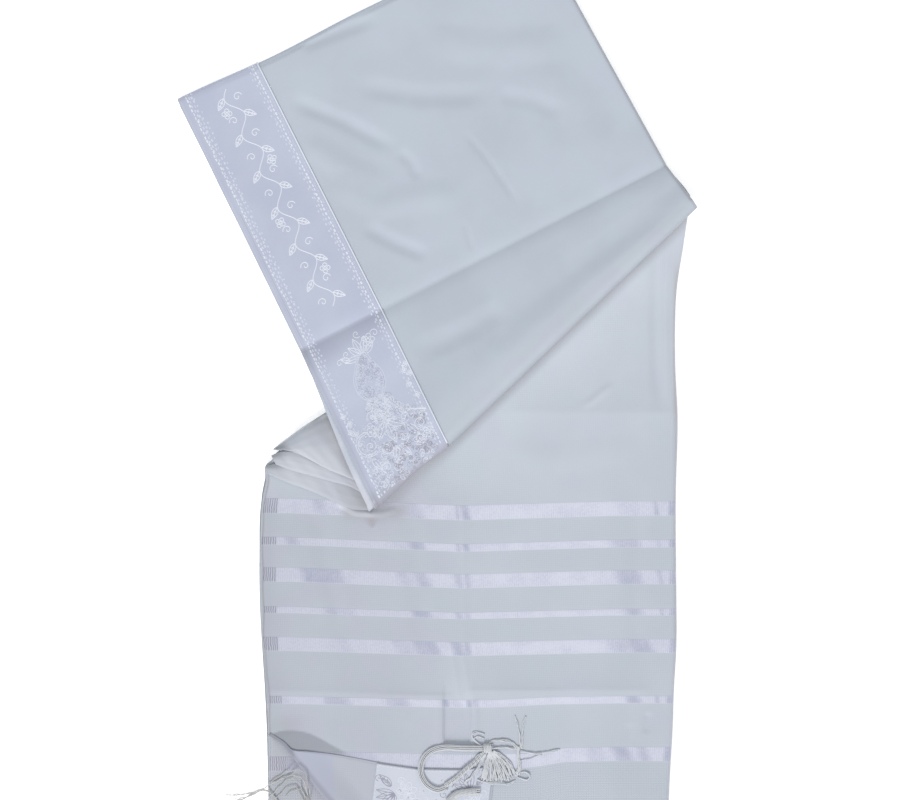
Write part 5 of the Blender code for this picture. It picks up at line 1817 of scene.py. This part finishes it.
NEAR_ROUTES = (
    Route(5, 1.4, 0.2, ((13.0, -265.0), (18.9, -260.6), (26.7, -259.8), (34.4, -262.0), (40.0, -267.5))),
    Route(3, 0.8, 0.2, ((18.0, -266.6), (29.3, -265.8), (40.6, -268.0))),
    Route(8, 1.9, 0.0, ((39.6, -265.0), (39.4, -274.0), (40.7, -281.0), (38.6, -289.6))),
    Route(2, 0.5, 0.2, ((13.0, -266.0), (4.5, -260.5), (2.6, -256.5), (5.6, -253.9), (12.5, -255.6))),
    Route(2, 0.5, 0.2, ((13.0, -266.5), (6.5, -262.6), (3.8, -259.0), (6.8, -257.0), (13.4, -259.4))),
    Route(2, 0.4, 0.0, ((40.9, -266.0), (40.5, -258.5), (38.8, -249.0), (36.4, -240.0))),
    Route(2, 0.4, 0.0, ((42.0, -267.0), (42.5, -255.0), (43.5, -246.4), (45.4, -239.5))),
    Route(2, 0.3, 0.0, ((40.5, -268.8), (52.6, -270.8), (61.2, -269.9), (73.3, -267.4))),
    Route(1, 0.2, 0.0, ((39.6, -277.0), (48.3, -274.8), (58.6, -271.2))),
    Route(2, 0.5, 0.0, ((38.0, -289.5), (45.7, -291.7), (47.6, -287.9), (44.0, -285.2), (40.6, -286.6))),
    Route(4, 2.2, 0.3, ((13.0, -268.0), (4.5, -276.0), (-2.5, -284.0), (-10.5, -290.5), (-15.5, -298.0))),
    Route(3, 1.6, 0.3, ((14.0, -269.0), (8.0, -279.0), (2.0, -288.0), (-5.0, -294.5))),
    Route(9, 3.0, 0.3, ((16.0, -269.0), (12.0, -279.0), (9.0, -291.5))),
    Route(9, 3.0, 0.3, ((17.0, -269.0), (15.0, -280.0), (14.2, -293.0))),
    Route(9, 3.0, 0.3, ((17.5, -269.0), (18.5, -280.0), (19.5, -293.4))),
    Route(9, 3.0, 0.3, ((18.0, -269.0), (22.0, -280.0), (25.5, -293.6))),
    Route(9, 3.0, 0.3, ((18.5, -269.0), (25.5, -279.0), (31.0, -293.2))),
    Route(9, 2.8, 0.3, ((19.0, -269.0), (29.0, -276.5), (36.0, -289.0))),
    Route(3, 0.7, 0.0, ((6.5, -291.2), (14.0, -293.6), (24.0, -294.6), (32.0, -294.6), (37.4, -292.0))),
)
LEFT_KNOT = Vector((-127.0, -322.0))
LEFT_CORDS = (
    Cord(7, 3.0, 0.0, True, (
        (-118.0, -400.0), (-121.0, -385.0), (-126.5, -368.0), (-127.0, -350.0), (-125.5, -336.0),
        (-127.0, -324.0),
    )),
)
LEFT_ROUTES = (
    Route(2, 0.5, 0.08, (
        (-127.0, -320.0), (-128.0, -303.0), (-131.0, -291.0), (-138.0, -287.6), (-147.0, -290.2),
        (-156.0, -294.5), (-165.5, -299.5), (-175.0, -303.0), (-186.0, -304.2), (-195.5, -304.6),
    )),
    Route(4, 0.6, 0.08, (
        (-130.0, -321.0), (-142.0, -318.0), (-151.0, -310.0), (-157.0, -302.5), (-163.5, -300.0),
        (-171.0, -303.4), (-179.5, -307.4), (-186.5, -307.9),
    )),
    Route(1, 0.6, 0.08, (
        (-127.0, -320.0), (-126.0, -301.0), (-129.0, -287.0), (-134.5, -282.4), (-143.5, -284.6),
        (-152.0, -289.5), (-161.0, -296.5),
    )),
    Route(1, 1.2, 0.08, (
        (-128.0, -320.0), (-131.0, -303.0), (-136.0, -292.0), (-143.0, -291.0), (-151.0, -297.5),
        (-158.0, -305.0), (-164.5, -313.0),
    )),
    Route(1, 1.2, 0.08, (
        (-128.0, -320.0), (-132.5, -305.0), (-138.0, -296.5), (-146.0, -298.5), (-153.0, -305.5),
        (-159.0, -313.0),
    )),
    Route(1, 0.8, 0.08, (
        (-127.0, -320.0), (-128.5, -309.0), (-133.0, -300.8), (-140.0, -301.5), (-146.0, -306.5),
    )),
)
FLOOR_CLEARANCE = 0.7
STITCH_TOP = 0.2
CORD_STEPS = 60
CORD_TWIST = 0.03
WINDING_STEPS, KNOT_STEPS, KNOT_TURNS = 9, 12, 5


def near_surface(plan):
    """What the tassel on the turned-up corner lies on: the strip's sheet, or the corner with its patch."""
    on_flap = ease(-6.0, 4.0, (-277.0 - 0.04 * (plan.x + 70)) - plan.y) * fall(20.0, 32.0, plan.x)
    return lerp(STACK_TOP + 0.2, FLAP_REST + PATCH_RISE + STITCH_TOP, on_flap)


def left_surface(plan):
    """What the other tassel lies on: the layer under the corner, its patch, the fold, or the floor."""
    on_fold = ease(-8.0, -4.0, flap_depth(plan.x, plan.y))
    on_layer = ease(-172.0, -161.5, plan.x)
    layer = lerp(FLOOR_CLEARANCE, SECOND_TOP + PATCH_RISE + STITCH_TOP, on_layer)
    return lerp(layer, STACK_TOP - CLOTH + 2 * FLAP_ROLL, on_fold * ease(-158.0, -154.0, plan.x))


def loose_yarn(route, surface, height, dice):
    """The path of one yarn on a route, with the small crimps that the winding has left in it."""
    points = [Vector(point) for point in route.points]
    length = path_length(points)
    aside, lift = dice.uniform(-route.spread, route.spread), dice.uniform(0.1, 0.7)
    crimp, phase, reach = dice.uniform(0.35, 0.7), dice.uniform(0, math.tau), dice.uniform(0.9, 1.0)
    path = []
    for share in steps_to(max(12, int(length / 1.3))):
        plan = through(points, share * reach)
        ahead = through(points, min(1.0, share * reach + 0.02)) - plan
        off = aside * lerp(0.4, 1.0, share) + 0.35 * math.sin(phase + share * length * crimp)
        if ahead.length > 0:
            plan = plan + Vector((-ahead.y, ahead.x)).normalized() * off
        low = surface(plan) + YARN + YARN_CLEARANCE
        rise = (height - low) * fall(0.0, route.from_knot, share) if route.from_knot else 0.0
        path.append(Vector((plan.x, plan.y, low + lift * math.sin(math.pi * share) + rise)))
    return path


def bundle_path(cord, surface, height):
    """The middle of a bundle of yarns. One that joins the knot climbs to its height at the end."""
    points = [Vector(point) for point in cord.points]
    path = []
    for share in steps_to(CORD_STEPS):
        plan = through(points, share)
        rest = surface(plan) + BUNDLE + YARN + YARN_CLEARANCE
        climb = ease(0.8, 1.0, share) if cord.joins else 0.0
        path.append(Vector((plan.x, plan.y, lerp(rest, height, climb))))
    return path


def lay_bundle(threads, path, cord):
    """Yarns side by side along a path as a flattened bundle, turning slowly round each other."""
    for n in range(cord.yarns):
        yarn = []
        for k, point in enumerate(path):
            side = ahead_at(path, k).normalized().cross(UP).normalized()
            turn = 2 * math.pi * n / cord.yarns + CORD_TWIST * k
            out = side * math.cos(turn) * cord.width / 2
            yarn.append(point + out + Vector((0, 0, math.sin(turn) * BUNDLE)))
        threads.round(yarn, YARN)


def wind(threads, path, radius, pitch):
    """One yarn wound closely round a flattened bundle, to this radius at its sides."""
    steps = len(path) - 1
    count = int(path_length(path) / pitch * WINDING_STEPS)
    yarn = []
    for k in range(count + 1):
        place = k / count * steps
        i = min(int(place), steps - 1)
        point = lerp(path[i], path[i + 1], place - i)
        ahead = (path[i + 1] - path[i]).normalized()
        side = ahead.cross(UP).normalized()
        up = side.cross(ahead)
        turn = 2 * math.pi * k / WINDING_STEPS
        yarn.append(point + side * math.cos(turn) * radius + up * math.sin(turn) * (BUNDLE + YARN))
    threads.round(yarn, YARN)


def lay_knot(threads, knot, height, size):
    """A double knot: yarn wrapped round in one direction and then over itself in two others."""
    count = KNOT_TURNS * KNOT_STEPS
    for heading, share in ((0.0, 1.0), (1.2, 0.8), (-0.9, 0.62)):
        along = Vector((math.cos(heading), math.sin(heading), 0))
        side = Vector((-along.y, along.x, 0))
        yarn = []
        for k in range(count + 1):
            turn = 2 * math.pi * k / KNOT_STEPS
            run = lerp(-0.32, 0.32, k / count) * size.x * share
            out = side * math.cos(turn) * size.y * 0.42 * share
            out = out + Vector((0, 0, math.sin(turn) * size.z * 0.42 * share))
            yarn.append(Vector((knot.x, knot.y, height)) + along * run + out)
        threads.round(yarn, YARN * 1.25)


tassel_yarn = thread_finish("ivory_yarn", TASSEL_IVORY, 0.85)
shaded_yarn = thread_finish("shaded_ivory_yarn", TASSEL_SHADED, 0.85)
Tassel = namedtuple("Tassel", "name knot size cords routes surface replaces seed yarn finish")
TASSELS = (
    Tassel(
        "near_tassel", NEAR_KNOT, Vector((10, 8, 3.6)), NEAR_CORDS, NEAR_ROUTES, near_surface,
        "tzitzit_near", 11, LOOSE_YARN, tassel_yarn,
    ),
    Tassel(
        "left_tassel", LEFT_KNOT, Vector((9, 11, 6)), LEFT_CORDS, LEFT_ROUTES, left_surface,
        "tzitzit_left", 5, FINE_YARN, shaded_yarn,
    ),
)
for t in TASSELS:
    dice = random.Random(t.seed)
    threads = Threads()
    height = t.surface(t.knot) + t.size.z / 2 + GAP
    for cord in t.cords:
        path = bundle_path(cord, t.surface, height)
        lay_bundle(threads, path, cord)
        if cord.wound:
            wind(threads, path[2:-6], cord.width / 2 + YARN, cord.wound)
    lay_knot(threads, t.knot, height, t.size)
    for route in t.routes:
        for _ in range(route.yarns):
            threads.round(loose_yarn(route, t.surface, height, dice), t.yarn)
    tassel = threads.piece(t.name, t.finish)
    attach(tassel, "root")
    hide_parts(t.replaces)


# ---------------------------------------------------------------- floor, light and camera
# A plain pale floor under an even sky, with one soft sun from the near side. A long lens looks straight down
# from above, so that hardly anything shows from its side.
SHOWN_WIDTH = 729.6
LENS = 120.0
SENSOR = 36.0
FLOOR_METRES = 12.0
SUN_FROM = Vector((-0.28, -1.0, 0.95))
VIEW_CENTRE = Vector((-7.1, 9.5, STACK_TOP))

bpy.ops.mesh.primitive_plane_add(size=FLOOR_METRES, location=(0, 0, 0))
floor = bpy.context.object
floor.name = "floor"
pale = even_finish(
    "pale_floor",
    Base_Color=(0.93, 0.93, 0.93, 1.0),
    Roughness=1.0,
    Specular_IOR_Level=0.0,
    Emission_Color=(1.0, 1.0, 1.0, 1.0),
    Emission_Strength=0.5,
)
floor.data.materials.append(pale)

world = bpy.data.worlds.new("even_sky")
bpy.context.scene.world = world
world.use_nodes = True
sky = world.node_tree.nodes["Background"].inputs
sky["Color"].default_value = (0.97, 0.985, 1.0, 1.0)
sky["Strength"].default_value = 0.615

sun = bpy.data.lights.new("near_sun", "SUN")
sun.energy = 1.95
sun.angle = math.radians(20)
sun.color = (1.0, 0.985, 0.965)
sun_holder = bpy.data.objects.new("near_sun", sun)
sun_holder.rotation_mode = "QUATERNION"
sun_holder.rotation_quaternion = SUN_FROM.to_track_quat("Z", "Y")
bpy.context.scene.collection.objects.link(sun_holder)

camera = bpy.data.cameras.new("camera")
camera.lens = LENS
camera.sensor_width = SENSOR
camera.clip_end = 20.0
view = bpy.data.objects.new("camera", camera)
view.location = (VIEW_CENTRE + Vector((0, 0, SHOWN_WIDTH * LENS / SENSOR))) * MM
bpy.context.scene.collection.objects.link(view)
bpy.context.scene.camera = view
bpy.context.scene.view_settings.view_transform = "Standard"
